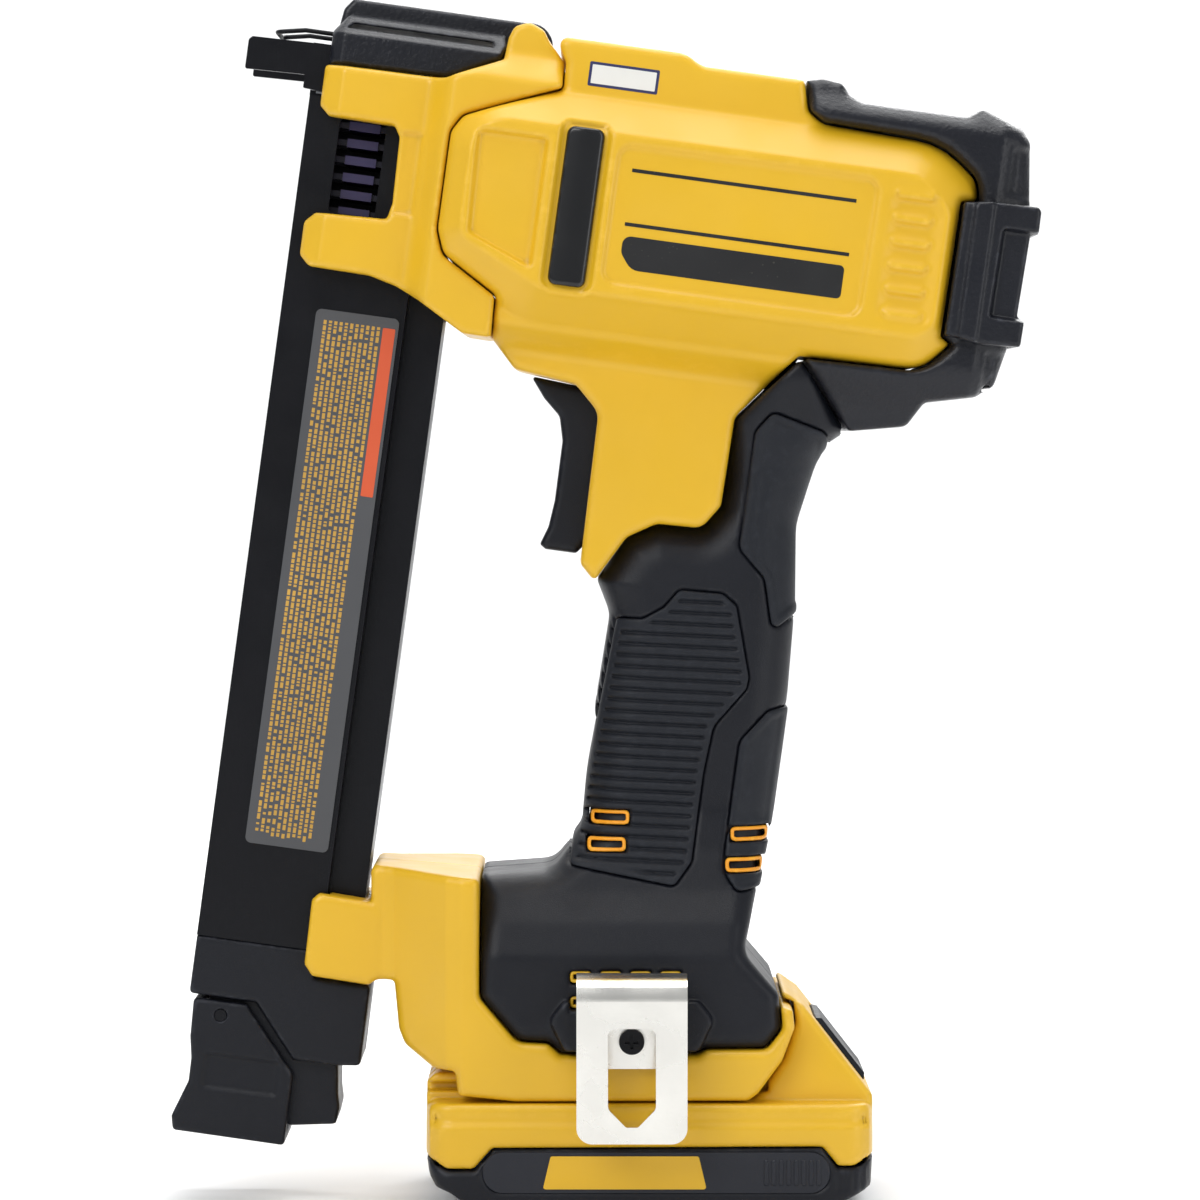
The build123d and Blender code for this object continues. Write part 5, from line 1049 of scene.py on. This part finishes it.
values = cut(values, -f.prism(tray, 35.2, 1.0), 0.2)
screw_hole_radius = 2.6
for x in (-37.4, 64.0):
    for y in (-31.0, 31.0):
        from_screw = np.hypot(f.x[:, :, None] - x, f.y - y)
        values = np.maximum(values, screw_hole_radius - from_screw)
dress(shape("battery_tray", f, values), black_plastic, "battery", "black_shell", "battery_base")

panel_rows = [(bar(-29.8, 6.2, 58.4, 16.6, 5), 37.1, 37.9)]
dress(plates("battery_band", panel_rows, "side", 0.25), panel_grey, "battery", "label_grey", "battery_panels")
patch_rows = [([(-14.5, 7.2, 0.6), (27.0, 7.2, 0.6), (25.0, 15.6, 0.6), (-12.5, 15.6, 0.6)], 37.8, 38.02)]
dress(plates("battery_patch", patch_rows, "side", 0.06), yellow_plastic, "battery", "vent_orange")
rib_rows = []
panel_ribs = 8
for number in range(panel_ribs):
    x = 41.6 + battery_rib_pitch * number
    rib_rows.append((bar(x, 8.2, x + 1.0, 14.6, 0.3), 37.7, 38.2))
dress(plates("battery_ribs", rib_rows, "side", 0.2), panel_grey, "battery", "label_grey")

# ---- magazine labels -----------------------------------------------------------------
# Rows of dashes and a plain block stand where the lettering is.
label_top, label_bottom = -64.5, -197.0
row_count, row_pitch, row_width = 11, 1.38, 0.8
ink_rows = []
for row in range(row_count):
    u = 10.9 + row_pitch * row
    level = label_top
    while level > label_bottom:
        dash = float(rng.uniform(0.45, 1.5))
        ink_rows.append((bar(u, level, u + row_width, level - dash, 0.0), 15.38, 15.43))
        level -= dash + (0.95 if rng.uniform() < 0.2 else 0.3)
dress(plates("label_lines", ink_rows, "barrel", 0.02), label_ink, "magazine", "label_grey")
warning_rows = [(bar(26.2, label_top, 29.4, -108.0, 0.3), 15.36, 15.46)]
dress(plates("label_block", warning_rows, "barrel", 0.03), label_warning, "magazine", "vent_orange")

# ---- CAD nodes that keep their own mesh ----------------------------------------------
kept = {
    "jam_door_pin": bare_steel, "door_bail": black_steel, "nosepiece": bare_steel, "driver": bare_steel,
    "driver_bumper": urethane, "return_springs": bare_steel, "spring_anchor": bare_steel,
    "flywheel_rotor": bare_steel, "stator": copper, "motor_frame": aluminium, "motor_bearings": bare_steel,
    "solenoid": bare_steel, "control_module": black_plastic, "contact_trip": black_steel,
    "trip_springs": bare_steel, "magazine_rail": black_steel, "magazine_channel": black_steel,
    # The staples take the near-black painted-shade wire colour.
    "magazine_labels": label_grey, "latch_pin": black_steel, "staples": shaded_staple_wire,
    "staple_saddles": saddle_plastic, "pusher": black_plastic, "pusher_spring": bare_steel,
    "trigger_spring": bare_steel, "trigger_switch": black_plastic,
    "clamp_bolt": black_steel, "belt_hook": nickel,
    "hook_screw": black_steel, "hook_nuts": brass, "battery_screws": black_steel,
    "battery_cells": cell_wrap, "battery_contacts": brass, "battery_button": black_plastic,
    "button_spring": bare_steel, "terminal_block": black_plastic, "wire_loom": soft_rubber,
    "housing_screws": black_steel,
}
# Bevel widths in millimetres.
bevels = {
    "contact_trip": 0.25, "magazine_rail": 0.3, "magazine_channel": 0.35, "magazine_labels": 0.1,
    "staples": 0.2, "staple_saddles": 0.2,
    "belt_hook": 0.25, "hook_screw": 0.15, "battery_button": 0.5, "nosepiece": 0.2, "pusher": 0.5,
    "clamp_bolt": 0.3, "housing_screws": 0.15, "terminal_block": 0.3, "trigger_switch": 0.4,
}
for node, surface in kept.items():
    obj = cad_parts[node]
    if not obj.material_slots:
        obj.data.materials.append(surface)
    for place in obj.material_slots:
        place.material = surface
    if node in bevels:
        eased = obj.modifiers.new("eased_edges", "BEVEL")
        eased.width = bevels[node] * mm
        eased.segments = 2
        eased.limit_method = "ANGLE"
        eased.angle_limit = math.radians(35)
        eased.harden_normals = False
